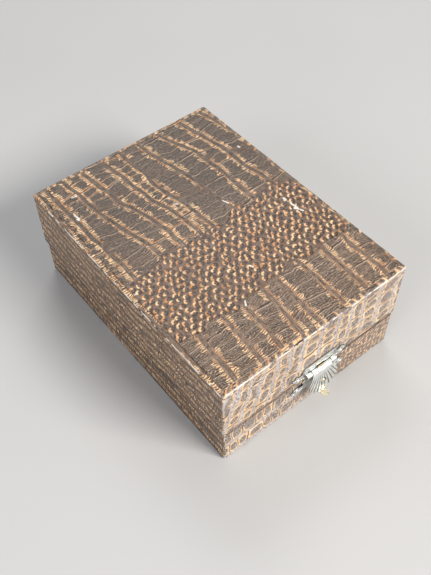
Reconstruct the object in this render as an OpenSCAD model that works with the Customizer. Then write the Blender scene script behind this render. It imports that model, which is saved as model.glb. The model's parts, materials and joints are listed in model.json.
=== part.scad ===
// Small hinged puzzle box: a wooden base and a deeper wooden lid, both covered in embossed
// paper, with two butt hinges at the back and a shell-shaped snap clasp at the front.
// +Z is up, the front is at -Y, and the origin is the centre of the underside.

/* [Case] */
// Width of the lid over its paper, left to right
case_w = 102; // [90:1:120]
// Depth of the case over its paper, front to back
case_d = 140; // [125:1:160]
// Height of the closed case
case_h = 54; // [52:1:64]
// Height of the seam between the base and the lid
seam_z = 22; // [21:0.5:24]
// How far each side of the base stands in from the lid
side_step = 1; // [0.6:0.1:1.4]
// Thickness of the wooden walls
wall_t = 5; // [4.6:0.1:5.6]
// Thickness of the wooden top and bottom panels
panel_t = 3; // [2.6:0.1:3.4]
// Clearance between the rims of the base and the lid
rim_gap = 0.2; // [0.1:0.05:0.3]
// Radius of the upright corners of the wood
corner_r = 1.2; // [0.8:0.1:1.6]

/* [Covering and lining] */
// Thickness of the embossed paper
paper_t = 0.4; // [0.3:0.05:0.5]
// Width of the paper strip turned in over the panels
turn_in = 8; // [6:0.5:10]
// Depth of the paper strip turned in below the rims
rim_turn_in = 6; // [4:0.5:8]
// Distance from the edges of the case to the top and bottom sheets
sheet_inset = 2.6; // [2:0.1:3.4]
// Thickness of the lining on the walls
lining_t = 0.8; // [0.7:0.05:1]
// Thickness of the pads on the floor and under the top
pad_t = 1.5; // [1:0.1:2.5]
// Height of bare paper between the rims and the lining
lining_drop = 2; // [1:0.5:3]

/* [Hinges] */
// Distance of each hinge from the middle of the case
hinge_x = 28; // [22:1:34]
// Length of a hinge along the seam
hinge_w = 16; // [14:1:20]
// Height of a hinge leaf
leaf_h = 9; // [8:0.5:11]
// Thickness of the hinge and clasp sheet metal
sheet_t = 0.6; // [0.5:0.05:0.7]
// Outer radius of the hinge barrels
knuckle_r = 1.4; // [1.3:0.05:1.5]
// Radius of the hinge pins
pin_r = 0.6; // [0.5:0.05:0.7]

/* [Clasp] */
// Distance of the clasp from the middle of the front, to the right
clasp_x = 2.6; // [-10:0.2:10]
// Height of the clasp's hinge above the seam
clasp_rise = 2.4; // [2.2:0.1:3]
// How far the shell stands open from its closed place, in degrees
open_angle = 6; // [0:1:90]
// Length of the barrel that the shell hangs from
barrel_w = 11; // [9:0.5:12]
// Number of ribs on the shell
ribs = 11; // [7:2:15]
// Height of the ribs at the shell's lower edge
rib_h = 0.45; // [0.3:0.05:0.6]
// Distance of the rivet below the clasp's hinge
rivet_v = 7.8; // [7:0.1:8.2]

/* [Hidden] */
$fn = 48;

BASE = 0;
LID = 1;
LEFT = -1;
RIGHT = 1;
FRONT = -1;
BACK = 1;

// Both halves are drawn as a tray standing on its panel; the lid is that tray turned over.
// Depths into a half, h, are measured from its panel's outer face to its rim.
wood_d = case_d - 2 * paper_t;
inner_d = wood_d - 2 * wall_t;
panel_top = paper_t + panel_t;
function cover_w(half) = half == LID ? case_w : case_w - 2 * side_step;
function wood_w(half) = cover_w(half) - 2 * paper_t;
function inner_w(half) = wood_w(half) - 2 * wall_t;
function rim_h(half) = (half == LID ? case_h - seam_z : seam_z) - rim_gap / 2;
function wall_top(half) = rim_h(half) - paper_t;

// Fasteners
brad_r = 0.5;
brad_l = 11;
brad_head_r = 0.9;
brad_head_h = 0.5;
brad_margin = 4; // from a wall's top and bottom edges to the corner brads
pin_nail_r = 0.45;
pin_nail_l = 4.5; // including the leaf or plate it goes through
pin_nail_head_r = 1.1;
pin_nail_head_h = 0.55;
fit = 0.03; // radial running clearance of a knuckle on its pin

// Hinges
hinge_y = case_d / 2 + knuckle_r + 0.1; // the barrels stand just clear of the paper
end_knuckle = 0.3 * hinge_w;
knuckle_gap = 0.1;
leaf_clear = knuckle_r + 0.2; // a leaf stops here beside the other leaf's knuckle
leaf_nail_x = 0.3 * hinge_w;
leaf_nail_z = 0.64 * leaf_h;

// Clasp, with u to the right, v down and n outwards from the middle of its hinge
pivot_z = seam_z + clasp_rise;
pivot_n = 1.55; // the clasp's hinge line in front of the case
barrel_r = 1.2;
clasp_pin_r = 0.55;
ear_w = 2.8;
notch_w = barrel_w + 0.4;
notch_top = 1;
loop_notch_w = 4.4;
loop_notch_top = 1.8;
plate_top = 5.1; // the lid plate's top edge above the clasp's hinge
plate_top_w = 17.4;
nail_boss_r = 2.1;
shell_t = 0.5;
shell_back = barrel_r - shell_t;
shell_top_v = 0.4;
shell_top_u = barrel_w / 2 - 0.1;
shell_r = 7.9; // the lower edge is an arc round a point this far below the hinge
shell_mid_v = 6.2;
shell_arc = 100; // from the middle of the lower edge to each end of it
shell_dome = 0.5;
scallop = 0.4;
strip_t = 0.4;
strip_w = 3.6;
strip_back = shell_back - strip_t;
loop_w = 3.6;
loop_t = 0.3;
rivet_r = 0.9;
rivet_head_r = 1.4;
rivet_tail_h = 0.3;
rivet_head_h = 0.6;
keeper_w = 6;
keeper_v = [9, 10.6];
keeper_front = strip_back - 0.25;
clasp_nail_u = 12.5;
lid_nail_v = 0;
base_nail_v = 8.4;

NICKEL = "silver";
TIN = "lightgray";
BRASS = "darkkhaki";
STEEL = "slategray";
PAPER = "saddlebrown";
LINING = "maroon";
WOOD = "burlywood";

// ---- Placing ----

module in_half(half) {
  if (half == LID) translate([0, 0, case_h]) mirror([0, 0, 1]) children();
  else children();
}

// Turns a shape drawn along +Z so that it points out of the case's front or back.
module facing(side) {
  rotate([side == FRONT ? 90 : -90, 0, 0]) children();
}

// Draws along +X what is given along +Z.
module along_x() {
  rotate([0, 90, 0]) children();
}

// Clasp coordinates: x is u, y is n and z is -v, turned about the clasp's hinge line.
module at_clasp(angle = 0) {
  translate([clasp_x, -case_d / 2 - pivot_n, pivot_z])
    rotate([-angle, 0, 0])
      mirror([0, 1, 0]) children();
}

// ---- Plain shapes ----

module rounded_rectangle(w, d, r) {
  square([w - 2 * r, d], center = true);
  square([w, d - 2 * r], center = true);
  for (x = [-1, 1], y = [-1, 1])
    translate([x * (w / 2 - r), y * (d / 2 - r)]) circle(r);
}

module slab(w, d, low, high) {
  translate([-w / 2, -d / 2, low]) cube([w, d, high - low]);
}

module rounded_slab(w, d, r, low, high) {
  translate([0, 0, low]) linear_extrude(high - low) rounded_rectangle(w, d, r);
}

module wood_outline(half, low, high) {
  rounded_slab(wood_w(half), wood_d, corner_r, low, high);
}

module cover_outline(half, low, high) {
  rounded_slab(cover_w(half), case_d, corner_r + paper_t, low, high);
}

// A wire brad with its head's top at the origin, driven down.
module brad() {
  translate([0, 0, -brad_head_h]) cylinder(r = brad_head_r, h = brad_head_h);
  translate([0, 0, -brad_l]) cylinder(r = brad_r, h = brad_l);
}

// A round-headed pin nail, driven down through whatever has its face at the origin.
module pin_nail_shank() {
  translate([0, 0, 1 - pin_nail_l]) cylinder(r = pin_nail_r, h = pin_nail_l - 1);
  translate([0, 0, -pin_nail_l]) cylinder(r1 = 0.1, r2 = pin_nail_r, h = 1);
}

module domed_head(r, h) {
  ball_r = (r * r + h * h) / (2 * h);
  rotate_extrude() intersection() {
    translate([0, h - ball_r]) circle(ball_r);
    square([r, h]);
  }
}

module pin_nail() {
  pin_nail_shank();
  domed_head(pin_nail_head_r, pin_nail_head_h);
}

// ---- Places of the fasteners ----

module corner_brads(half) {
  x = wood_w(half) / 2 - wall_t / 2;
  for (side = [FRONT, BACK], s = [LEFT, RIGHT], h = [panel_top + brad_margin, wall_top(half) - brad_margin])
    translate([s * x, side * wood_d / 2, h]) facing(side) brad();
}

module panel_brads(half) {
  x = wood_w(half) / 2 - wall_t / 2;
  y = wood_d / 2 - wall_t / 2;
  for (s = [-1, 1]) {
    for (t = [-1, 0, 1]) translate([s * x, t * 0.6 * y, 2 * paper_t]) mirror([0, 0, 1]) brad();
    for (t = [-1, 1]) translate([t * 0.35 * x, s * y, 2 * paper_t]) mirror([0, 0, 1]) brad();
  }
}

// Children at the nail places of both hinges' leaves, at the leaves' outer faces.
module at_leaf_nails(half) {
  z = seam_z + (half == LID ? 1 : -1) * leaf_nail_z;
  for (s = [LEFT, RIGHT], t = [-1, 1])
    translate([s * hinge_x + t * leaf_nail_x, case_d / 2 + sheet_t, z]) facing(BACK) children();
}

module at_clasp_nails(half) {
  z = pivot_z - (half == LID ? lid_nail_v : base_nail_v);
  for (s = [-1, 1])
    translate([clasp_x + s * clasp_nail_u, -case_d / 2 - sheet_t, z]) facing(FRONT) children();
}

module all_nail_shanks(half) {
  at_leaf_nails(half) pin_nail_shank();
  at_clasp_nails(half) pin_nail_shank();
}

// ---- Wooden halves ----

// A front or back wall: full width, rebated at both ends for the side walls.
module end_wall(half, side) {
  color(WOOD) difference() {
    in_half(half) difference() {
      intersection() {
        wood_outline(half, panel_top, wall_top(half));
        translate([0, side * (wood_d / 2 - wall_t / 2), 0])
          slab(wood_w(half), wall_t, panel_top, wall_top(half));
      }
      for (s = [LEFT, RIGHT])
        translate([s * (wood_w(half) / 2 - wall_t / 2), side * (wood_d / 2 - wall_t * 3 / 4), 0])
          slab(wall_t, wall_t / 2, panel_top, wall_top(half));
      corner_brads(half);
      panel_brads(half);
    }
    all_nail_shanks(half);
  }
}

module side_wall(half, side) {
  color(WOOD) in_half(half) difference() {
    translate([side * (wood_w(half) / 2 - wall_t / 2), 0, 0])
      slab(wall_t, wood_d - wall_t, panel_top, wall_top(half));
    corner_brads(half);
    panel_brads(half);
  }
}

// A panel, lowered round its edge by the paper that is turned in over it.
module panel(half) {
  color(WOOD) in_half(half) difference() {
    wood_outline(half, paper_t, panel_top);
    difference() {
      slab(case_w, case_d, paper_t, 2 * paper_t);
      slab(wood_w(half) - 2 * turn_in, wood_d - 2 * turn_in, paper_t, 2 * paper_t);
    }
    panel_brads(half);
  }
}

// ---- Paper and lining ----

// The strip round the four sides, turned in over the panel and over the rim.
module side_cover(half) {
  inner = inner_w(half);
  rim = rim_h(half);
  color(PAPER) difference() {
    in_half(half) union() {
      difference() {
        cover_outline(half, paper_t, rim);
        wood_outline(half, 2 * paper_t, rim - paper_t);
        slab(wood_w(half) - 2 * turn_in, wood_d - 2 * turn_in, 0, 2 * paper_t);
        slab(inner - 2 * paper_t, inner_d - 2 * paper_t, rim - paper_t, rim);
      }
      difference() {
        slab(inner, inner_d, rim - rim_turn_in, rim - paper_t);
        slab(inner - 2 * paper_t, inner_d - 2 * paper_t, rim - rim_turn_in, rim - paper_t);
      }
    }
    all_nail_shanks(half);
  }
}

module flat_cover(half) {
  color(PAPER) in_half(half)
    rounded_slab(cover_w(half) - 2 * sheet_inset, case_d - 2 * sheet_inset, 0.8, 0, paper_t);
}

// The lining strip, thinner where it laps over the paper that is turned in below the rim.
module wall_lining(half) {
  inner = inner_w(half);
  top = rim_h(half) - lining_drop;
  color(LINING) in_half(half) difference() {
    slab(inner, inner_d, panel_top, top);
    slab(inner - 2 * lining_t, inner_d - 2 * lining_t, panel_top, top);
    difference() {
      slab(inner, inner_d, rim_h(half) - rim_turn_in, top);
      slab(inner - 2 * paper_t, inner_d - 2 * paper_t, rim_h(half) - rim_turn_in, top);
    }
  }
}

module pad(half) {
  color(LINING) in_half(half)
    slab(inner_w(half) - 2 * lining_t, inner_d - 2 * lining_t, panel_top, panel_top + pad_t);
}

// ---- Hinges ----

// The stretches of a hinge's barrel that belong to a half: the ends to the base, the middle to the lid.
function knuckles(half) = half == LID
  ? [[-hinge_w / 2 + end_knuckle + knuckle_gap, hinge_w / 2 - end_knuckle - knuckle_gap]]
  : [[-hinge_w / 2, -hinge_w / 2 + end_knuckle], [hinge_w / 2 - end_knuckle, hinge_w / 2]];

module hinge_leaf(half, s) {
  up = half == LID ? 1 : -1;
  color(TIN) difference() {
    translate([s * hinge_x, 0, seam_z]) union() {
      translate([-hinge_w / 2, case_d / 2, up > 0 ? leaf_clear : -leaf_h])
        cube([hinge_w, sheet_t, leaf_h - leaf_clear]);
      for (k = knuckles(half)) {
        translate([k[0], case_d / 2, up > 0 ? 0.1 : -leaf_clear - 0.1])
          cube([k[1] - k[0], sheet_t, leaf_clear]);
        translate([k[0], hinge_y, 0]) along_x() cylinder(r = knuckle_r, h = k[1] - k[0]);
      }
    }
    translate([s * hinge_x - hinge_w, hinge_y, seam_z]) along_x()
      cylinder(r = pin_r + (half == LID ? fit : 0), h = 2 * hinge_w);
    at_leaf_nails(half) pin_nail_shank();
  }
}

module hinge_pin(s) {
  color(STEEL) translate([s * hinge_x - hinge_w / 2, hinge_y, seam_z]) along_x()
    cylinder(r = pin_r, h = hinge_w);
}

// ---- Clasp plates ----

// Sheet metal standing on the case's front face, drawn in u and height about the clasp's hinge.
module on_front() {
  translate([clasp_x, -case_d / 2, pivot_z]) facing(FRONT) linear_extrude(sheet_t) children();
}

// A clasp plate with its nails v below the clasp's hinge: straight edges from the middle out to
// the nails along the points given for the right side, then a rounded end with two scrolls.
module plate_sheet(v, top, low, droop) {
  right = concat(top, [[clasp_nail_u, nail_boss_r - 0.1], [clasp_nail_u, 0.1 - nail_boss_r]], low);
  n = len(right);
  on_front() translate([0, -v])
    polygon(concat(right, [for (i = [n - 1:-1:0]) [-right[i][0], right[i][1]]]));
  for (s = [LEFT, RIGHT]) {
    on_front() translate([s * clasp_nail_u, -v]) circle(nail_boss_r);
    on_front() translate([s * (clasp_nail_u + 2.2), droop - v]) circle(1.1);
    on_front() translate([s * (clasp_nail_u + 0.4), 2 * droop - v]) circle(1.2);
  }
}

// The plate on the lid, notched for the shell's barrel, with a rolled ear at each side of the notch.
module clasp_lid_plate() {
  color(NICKEL) difference() {
    union() {
      difference() {
        union() plate_sheet(lid_nail_v,
          [[plate_top_w / 2, plate_top], [plate_top_w / 2 + 1.5, 3]], [[8.2, -1]], 0.9);
        on_front() translate([-notch_w / 2, -4]) square([notch_w, 4 + notch_top]);
        on_front() translate([-loop_notch_w / 2, -4]) square([loop_notch_w, 4 + loop_notch_top]);
      }
      at_clasp() for (s = [-1, 1]) {
        u = s * (notch_w / 2 + ear_w / 2);
        translate([u - ear_w / 2, 0, 0]) along_x() cylinder(r = barrel_r, h = ear_w);
        translate([u - ear_w / 2, -pivot_n, -1]) cube([ear_w, pivot_n, 2]);
      }
    }
    at_clasp() translate([-case_w / 2, 0, 0]) along_x() cylinder(r = clasp_pin_r, h = case_w);
    at_clasp_nails(LID) pin_nail_shank();
  }
}

module clasp_base_plate() {
  color(NICKEL) difference() {
    union() plate_sheet(base_nail_v, [[7.5, 4.4], [9.3, 3]], [[8, -2.4], [4.5, -4.2]], -0.9);
    at_clasp_nails(BASE) pin_nail_shank();
  }
}

// The rounded bar that the spring strip snaps under.
module clasp_keeper() {
  r = (keeper_v[1] - keeper_v[0]) / 2;
  plate_face = sheet_t - pivot_n;
  color(NICKEL) at_clasp() translate([-keeper_w / 2, 0, 0]) {
    difference() {
      translate([0, keeper_front - r, -keeper_v[0] - r]) along_x() cylinder(r = r, h = keeper_w);
      translate([-1, plate_face - 3, -keeper_v[1] - 1]) cube([keeper_w + 2, 3, 2 * r + 2]);
    }
    translate([0, plate_face, -keeper_v[1]]) cube([keeper_w, keeper_front - r - plate_face, 2 * r]);
  }
}

module clasp_hinge_pin() {
  length = notch_w + 2 * ear_w;
  color(STEEL) at_clasp() translate([-length / 2, 0, 0]) along_x()
    cylinder(r = clasp_pin_r, h = length);
}

// ---- Shell and spring strip, drawn closed and turned open about the clasp's hinge ----

steps_across = 4 * ribs;
steps_down = 6;

// Across the shell, s runs from -1 to 1; down it, t runs from 0 at the barrel to 1 at the edge.
function crest(s) = abs(cos(90 * ribs * s)); // 1 on a rib, 0 in a groove
function shell_top(s) = [shell_top_u * s * (0.35 + 0.65 * abs(s)), shell_top_v];
function shell_low(s) =
  let (r = shell_r + scallop * (crest(s) - 0.5))
  [r * sin(shell_arc * s), shell_mid_v + r * cos(shell_arc * s)];
function shell_n(s, t) = shell_dome * sin(150 * t) * (1 - 0.5 * s * s) + rib_h * t * crest(s);
function shell_point(s, t, n) =
  let (at = shell_top(s) + t * (shell_low(s) - shell_top(s)))
  [at[0], n + shell_n(s, t), -at[1]];

module shell_sheet() {
  across = steps_across + 1;
  face = across * (steps_down + 1);
  points = [
    for (n = [shell_back, barrel_r], j = [0:steps_down], i = [0:steps_across])
      shell_point(2 * i / steps_across - 1, j / steps_down, n)
  ];
  back_faces = [
    for (j = [0:steps_down - 1], i = [0:steps_across - 1])
      let (p = j * across + i)
      each [[p, p + 1, p + across], [p + 1, p + across + 1, p + across]]
  ];
  front_faces = [for (f = back_faces) [f[0] + face, f[2] + face, f[1] + face]];
  low = steps_down * across;
  top_edge = [for (i = [0:steps_across - 1]) each [[i, i + face, i + 1], [i + 1, i + face, i + 1 + face]]];
  low_edge = [
    for (i = [low:low + steps_across - 1])
      each [[i, i + 1, i + face], [i + 1, i + 1 + face, i + face]]
  ];
  left_edge = [
    for (j = [0:steps_down - 1])
      let (p = j * across)
      each [[p, p + across, p + face], [p + across, p + across + face, p + face]]
  ];
  right_edge = [
    for (j = [0:steps_down - 1])
      let (p = j * across + steps_across)
      each [[p, p + face, p + across], [p + across, p + face, p + across + face]]
  ];
  polyhedron(points, concat(back_faces, front_faces, top_edge, low_edge, left_edge, right_edge));
}

// The rivet's head sits in a seat this far out, sunk into the middle rib.
rivet_t = (rivet_v - shell_top_v) / (shell_low(0)[1] - shell_top_v);
rivet_seat = shell_back + shell_n(0, rivet_t) + 0.35;

module clasp_shell() {
  color(NICKEL) at_clasp(open_angle) difference() {
    union() {
      shell_sheet();
      translate([-barrel_w / 2, 0, 0]) along_x() cylinder(r = barrel_r, h = barrel_w);
    }
    translate([-barrel_w, 0, 0]) along_x() cylinder(r = clasp_pin_r + fit, h = 2 * barrel_w);
    translate([0, 0, -rivet_v]) rotate([-90, 0, 0]) {
      cylinder(r = rivet_r, h = rivet_seat + 1);
      translate([0, 0, rivet_seat]) cylinder(r = rivet_head_r, h = 2);
    }
  }
}

// The strip's edge line in n and v: behind the shell, in under the keeper, and out to the thumb tab.
strip_line = [
  [strip_back, 1], [strip_back, 10.8], [-0.55, 11.7], [strip_back, 12.6],
  [strip_back, 14.4], [0.8, 15], [2.4, 15.5], [4.7, 16], [4.8, 15.6],
  [2.5, 15.1], [1.1, 14.6], [shell_back, 14.2], [shell_back, 12.5], [-0.05, 11.7],
  [shell_back, 10.9], [shell_back, 1]
];

module clasp_spring_strip() {
  color(BRASS) at_clasp(open_angle) difference() {
    union() {
      translate([-strip_w / 2, 0, 0]) rotate([90, 0, 90])
        linear_extrude(strip_w) polygon([for (p = strip_line) [p[0], -p[1]]]);
      // the loop that holds the strip's upper end round the back of the barrel
      translate([-loop_w / 2, 0, 0]) difference() {
        along_x() cylinder(r = barrel_r + loop_t, h = loop_w);
        translate([-1, 0, -barrel_r]) cube([loop_w + 2, 3, 4]);
        translate([-1, shell_back, -3]) cube([loop_w + 2, 3, 4]);
      }
    }
    translate([-strip_w, 0, 0]) along_x() cylinder(r = barrel_r, h = 2 * strip_w);
    translate([0, 0, -rivet_v]) rotate([-90, 0, 0]) cylinder(r = rivet_r, h = 2 * barrel_r);
  }
}

module clasp_rivet() {
  color(BRASS) at_clasp(open_angle) translate([0, 0, -rivet_v]) rotate([-90, 0, 0]) {
    translate([0, 0, strip_back - rivet_tail_h]) {
      cylinder(r = rivet_head_r - 0.2, h = rivet_tail_h);
      cylinder(r = rivet_r, h = rivet_seat - strip_back + rivet_tail_h + 0.01);
    }
    translate([0, 0, rivet_seat]) domed_head(rivet_head_r - 0.15, rivet_head_h);
  }
}

// ---- Nodes ----

end_wall(BASE, FRONT);  // base_front_wall
end_wall(BASE, BACK);  // base_back_wall
side_wall(BASE, LEFT);  // base_left_wall
side_wall(BASE, RIGHT);  // base_right_wall
panel(BASE);  // base_bottom_panel
color(STEEL) in_half(BASE) corner_brads(BASE);  // base_corner_brads
color(STEEL) in_half(BASE) panel_brads(BASE);  // base_panel_brads
side_cover(BASE);  // base_side_cover
flat_cover(BASE);  // base_bottom_cover
wall_lining(BASE);  // base_wall_lining
pad(BASE);  // base_floor_pad
hinge_leaf(BASE, LEFT);  // left_hinge_base_leaf
hinge_leaf(BASE, RIGHT);  // right_hinge_base_leaf
hinge_pin(LEFT);  // left_hinge_pin
hinge_pin(RIGHT);  // right_hinge_pin
color(TIN) at_leaf_nails(BASE) pin_nail();  // hinge_base_nails
clasp_base_plate();
clasp_keeper();
color(NICKEL) at_clasp_nails(BASE) pin_nail();  // clasp_base_nails
end_wall(LID, FRONT);  // lid_front_wall
end_wall(LID, BACK);  // lid_back_wall
side_wall(LID, LEFT);  // lid_left_wall
side_wall(LID, RIGHT);  // lid_right_wall
panel(LID);  // lid_top_panel
color(STEEL) in_half(LID) corner_brads(LID);  // lid_corner_brads
color(STEEL) in_half(LID) panel_brads(LID);  // lid_panel_brads
side_cover(LID);  // lid_side_cover
flat_cover(LID);  // lid_top_cover
wall_lining(LID);  // lid_wall_lining
pad(LID);  // lid_top_lining
hinge_leaf(LID, LEFT);  // left_hinge_lid_leaf
hinge_leaf(LID, RIGHT);  // right_hinge_lid_leaf
color(TIN) at_leaf_nails(LID) pin_nail();  // hinge_lid_nails
clasp_lid_plate();
color(NICKEL) at_clasp_nails(LID) pin_nail();  // clasp_lid_nails
clasp_hinge_pin();
clasp_shell();
clasp_spring_strip();
clasp_rivet();
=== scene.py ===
"""Looks for the paper-covered puzzle box: embossed hide paper with real relief, a nickel and
brass shell clasp, tinned hinges and a flocked lining, then camera, floor and light.
Shapes are worked out in millimetres and made in metres."""

import json
import math

import bpy
import numpy as np
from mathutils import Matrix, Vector


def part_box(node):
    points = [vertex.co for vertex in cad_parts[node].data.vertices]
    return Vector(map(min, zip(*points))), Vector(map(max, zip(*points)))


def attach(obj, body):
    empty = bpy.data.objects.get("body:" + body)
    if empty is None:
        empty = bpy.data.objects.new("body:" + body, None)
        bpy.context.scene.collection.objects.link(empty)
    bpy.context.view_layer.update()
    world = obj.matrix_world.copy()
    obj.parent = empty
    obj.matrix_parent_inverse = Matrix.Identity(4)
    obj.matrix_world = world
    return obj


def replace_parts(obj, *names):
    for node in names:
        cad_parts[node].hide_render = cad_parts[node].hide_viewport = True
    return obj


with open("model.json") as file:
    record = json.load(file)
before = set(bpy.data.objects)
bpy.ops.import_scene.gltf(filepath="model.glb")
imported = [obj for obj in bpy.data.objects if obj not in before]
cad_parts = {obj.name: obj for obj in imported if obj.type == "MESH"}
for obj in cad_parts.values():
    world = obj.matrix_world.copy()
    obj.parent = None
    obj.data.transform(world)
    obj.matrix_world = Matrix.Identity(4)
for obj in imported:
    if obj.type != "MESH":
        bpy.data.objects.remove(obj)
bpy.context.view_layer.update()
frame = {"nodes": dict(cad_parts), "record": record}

MM = 0.001
NODES = frame["nodes"]
SLOT_OF = {s["node"]: s["material_slot"] for s in frame["record"]["subparts"]}


def box_mm(node):
    """A node's lowest and highest corners in mm."""
    low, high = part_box(node)
    return np.array(low) / MM, np.array(high) / MM


# ---- Sizes in mm: what the nodes' boxes give, and what they don't ----

TOP_Z = box_mm("lid_top_cover")[1][2]
PAPER = TOP_Z - box_mm("lid_top_cover")[0][2]
LID_LOW, LID_HIGH = box_mm("lid_side_cover")
BASE_LOW, BASE_HIGH = box_mm("base_side_cover")
WALL = np.ptp([v[0] for v in box_mm("lid_left_wall")])
CASE_W, CASE_D = LID_HIGH[0] - LID_LOW[0], LID_HIGH[1] - LID_LOW[1]
BASE_W = BASE_HIGH[0] - BASE_LOW[0]
CORNER_R = 1.6     # the paper's upright corners
FOLD_R = 0.75      # the paper's folds along the edges
TURN_IN = 8.0      # paper turned in over the panels
RIM_TURN_IN = 6.0  # paper turned in below the rims

CLASP_PIN = box_mm("clasp_hinge_pin")
CLASP = (CLASP_PIN[0] + CLASP_PIN[1]) / 2   # middle of the clasp's hinge
OPEN_ANGLE = 6.0   # how far the shell stands open at rest, in degrees
BARREL_R, BARREL_W = 1.2, 11.0
SHEET_T = 0.6      # the clasp's plates
RIVET_DROP = 7.8   # from the clasp's hinge down to the rivet
NAIL_HEAD_R = 1.1
HINGE_NAIL_STEP = 9.6

# ---- Noise and ramps on numpy arrays ----

TABLE = np.random.default_rng(7).random((256, 256))


def ramp(x, low, high):
    t = np.clip((x - low) / (high - low), 0, 1)
    return t * t * (3 - 2 * t)


def noise(a, b, size, seed=0):
    """Smooth noise from 0 to 1 whose features are about size across."""
    u, v = a / size + seed * 17.31, b / size + seed * 9.17
    i, j = np.floor(u).astype(int), np.floor(v).astype(int)
    f, g = u - i, v - j
    f, g = f * f * (3 - 2 * f), g * g * (3 - 2 * g)
    rows = [TABLE[i % 256, (j + k) % 256] * (1 - f) + TABLE[(i + 1) % 256, (j + k) % 256] * f for k in (0, 1)]
    return rows[0] * (1 - g) + rows[1] * g


# ---- The embossed hide ----
# Each pattern gives the same fields on arrays of places in mm. relief: height. gap: distance
# from the middle of the nearest channel. cell: how far inside its scale's or bump's outline.
# phase: counts scales along a column. along: distance along the columns, for combs and lines.
# tone: one shade per scale. amber: how rusty the margins are. web: how solid they are.
# facing: 1 on the side of a bump that took the rusty colour and -1 on the side with painted shadow. bumpy: 1
# among the bumps.
# The last field is painted light: 0 where the sheet is darkened with painted shade, 0.5 where it is left as
# it is, and 1 where it is greyed with a painted sheen.

FIELDS = ("relief", "gap", "cell", "phase", "along", "tone", "amber", "web", "facing", "bumpy", "printed")


def scales(across, along, grooves, length, seed, channel=1.0, corner=1.6, ovals=0.15, web=0.0, rust=1.0,
           printed=0.5):
    """Scales in columns between grooves, which give the places of the channels' middles."""
    g = np.stack([x + 0 * across for x in grooves])
    k = np.clip((across[None] > g).sum(0) - 1, 0, len(g) - 2)
    left = np.take_along_axis(g, k[None], 0)[0]
    right = np.take_along_axis(g, k[None] + 1, 0)[0]
    half = (right - left) / 2
    off = across - (left + right) / 2
    gap = half - np.abs(off)
    r = np.random.default_rng(seed).random((len(g), 64, 5))
    size = length * (0.8 + 0.4 * r[k, 0, 0])
    t = along / size + 9 * r[k, 1, 0]
    t = t + 0.2 * np.sin(2.1 * t + 6 * r[k, 2, 0])
    row = np.floor(t).astype(int) % 64
    f = t - np.floor(t)
    own = r[k, row]
    a = np.maximum(half - channel - 0.1, 0.3)
    b = size / 2 - 0.2
    oval = (own[..., 2] < ovals) & (np.abs(a - b) < 2.2)
    rad = np.minimum(np.where(oval, 9.0, corner), 0.92 * np.minimum(a, b))
    qx, qy = np.abs(off) - (a - rad), np.abs((f - 0.5) * size) - (b - rad)
    cell = rad - np.hypot(np.maximum(qx, 0), np.maximum(qy, 0)) - np.minimum(np.maximum(qx, qy), 0)
    patch = noise(along + 31.7 * k, 13.0 * (off > 0) + 0.02 * along, 9.0, seed)
    amber = rust * np.maximum(ramp(patch, 0.12, 0.5) * (1 - 0.3 * ramp(off / half, 0.0, 0.6)), oval * 0.6)
    lift = ramp(gap, 0.5, 1.5)
    pillow = 1 - np.exp(-np.maximum(cell, 0) / 1.2)
    end = np.minimum(f, 1 - f) * size
    relief = 0.1 * lift + 0.12 * pillow - 0.06 * np.exp(-((end / 0.35) ** 2)) * lift
    relief = relief + 0.03 * np.sin(2 * np.pi * along / 1.9 + 5 * own[..., 0]) * lift
    return dict(relief=relief, gap=gap, cell=cell, phase=t, along=along, tone=own[..., 1], amber=amber,
                web=web + 0.35 * oval, facing=0 * gap, bumpy=0 * gap, printed=0 * gap + printed)


def bumps(a, b, pitch, seed, lean=-0.15, printed=0.5):
    """Small round bumps in rows that slant by lean, each rubbed rusty on one side."""
    a, b = a * math.cos(lean) + b * math.sin(lean), b * math.cos(lean) - a * math.sin(lean)
    step = pitch * 0.87
    i, j = np.floor(a / pitch).astype(int), np.floor(b / step).astype(int)
    r = np.random.default_rng(seed).random((128, 128, 4))
    best = np.full(a.shape, 1e9)
    da, db, own = 0 * a, 0 * a, np.zeros(a.shape + (4,))
    for dj in (-1, 0, 1):
        for di in (-1, 0, 1, 2):
            row = j + dj
            col = i + di - (row % 2 == 1)
            jitter = r[col % 128, row % 128]
            x = (col + 0.5 + 0.5 * (row % 2) + 0.44 * (jitter[..., 0] - 0.5)) * pitch
            y = (row + 0.5 + 0.44 * (jitter[..., 1] - 0.5)) * step
            d = np.hypot(a - x, (b - y) * (0.9 + 0.3 * jitter[..., 3]))
            near = d < best
            best, da, db = np.where(near, d, best), np.where(near, a - x, da), np.where(near, b - y, db)
            own = np.where(near[..., None], jitter, own)
    dome = np.clip(1 - (best / (0.52 * pitch)) ** 2, 0, 1)
    toward = math.radians(143) - lean + 1.3 * (own[..., 3] - 0.5)
    facing = (np.cos(toward) * da + np.sin(toward) * db) / np.maximum(best, 0.1)
    return dict(relief=0.15 + (0.05 + 0.08 * own[..., 1]) * dome, gap=0 * a + 1.3,
                cell=0.5 * pitch - best, phase=0 * a + 0.5, along=b, tone=own[..., 1],
                amber=0.42 + 0.55 * own[..., 2], web=0 * a, facing=facing, bumpy=0 * a + 1,
                printed=0 * a + printed)


def join(patterns, weights):
    """Each place takes the pattern of the greatest weight. The relief sinks where two meet."""
    w = np.stack([v + 0 * patterns[0]["gap"] for v in weights])
    pick = w.argmax(0)
    order = np.sort(w, 0)
    seam = ramp(order[-1] - order[-2], 0.0, 0.5)
    out = {k: np.take_along_axis(np.stack([p[k] for p in patterns]), pick[None], 0)[0] for k in FIELDS}
    out["relief"] = out["relief"] * (0.35 + 0.65 * seam)
    out["amber"] = out["amber"] * ramp(seam, 0.1, 0.6)
    return out


def wobble(a, b, big, small, seed):
    """How far the hide's lines stray: big wide bends and small close ones."""
    return big * (noise(a, b, 8.5, seed) - 0.5) + small * (noise(a, b, 3.1, seed + 1) - 0.5)


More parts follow.
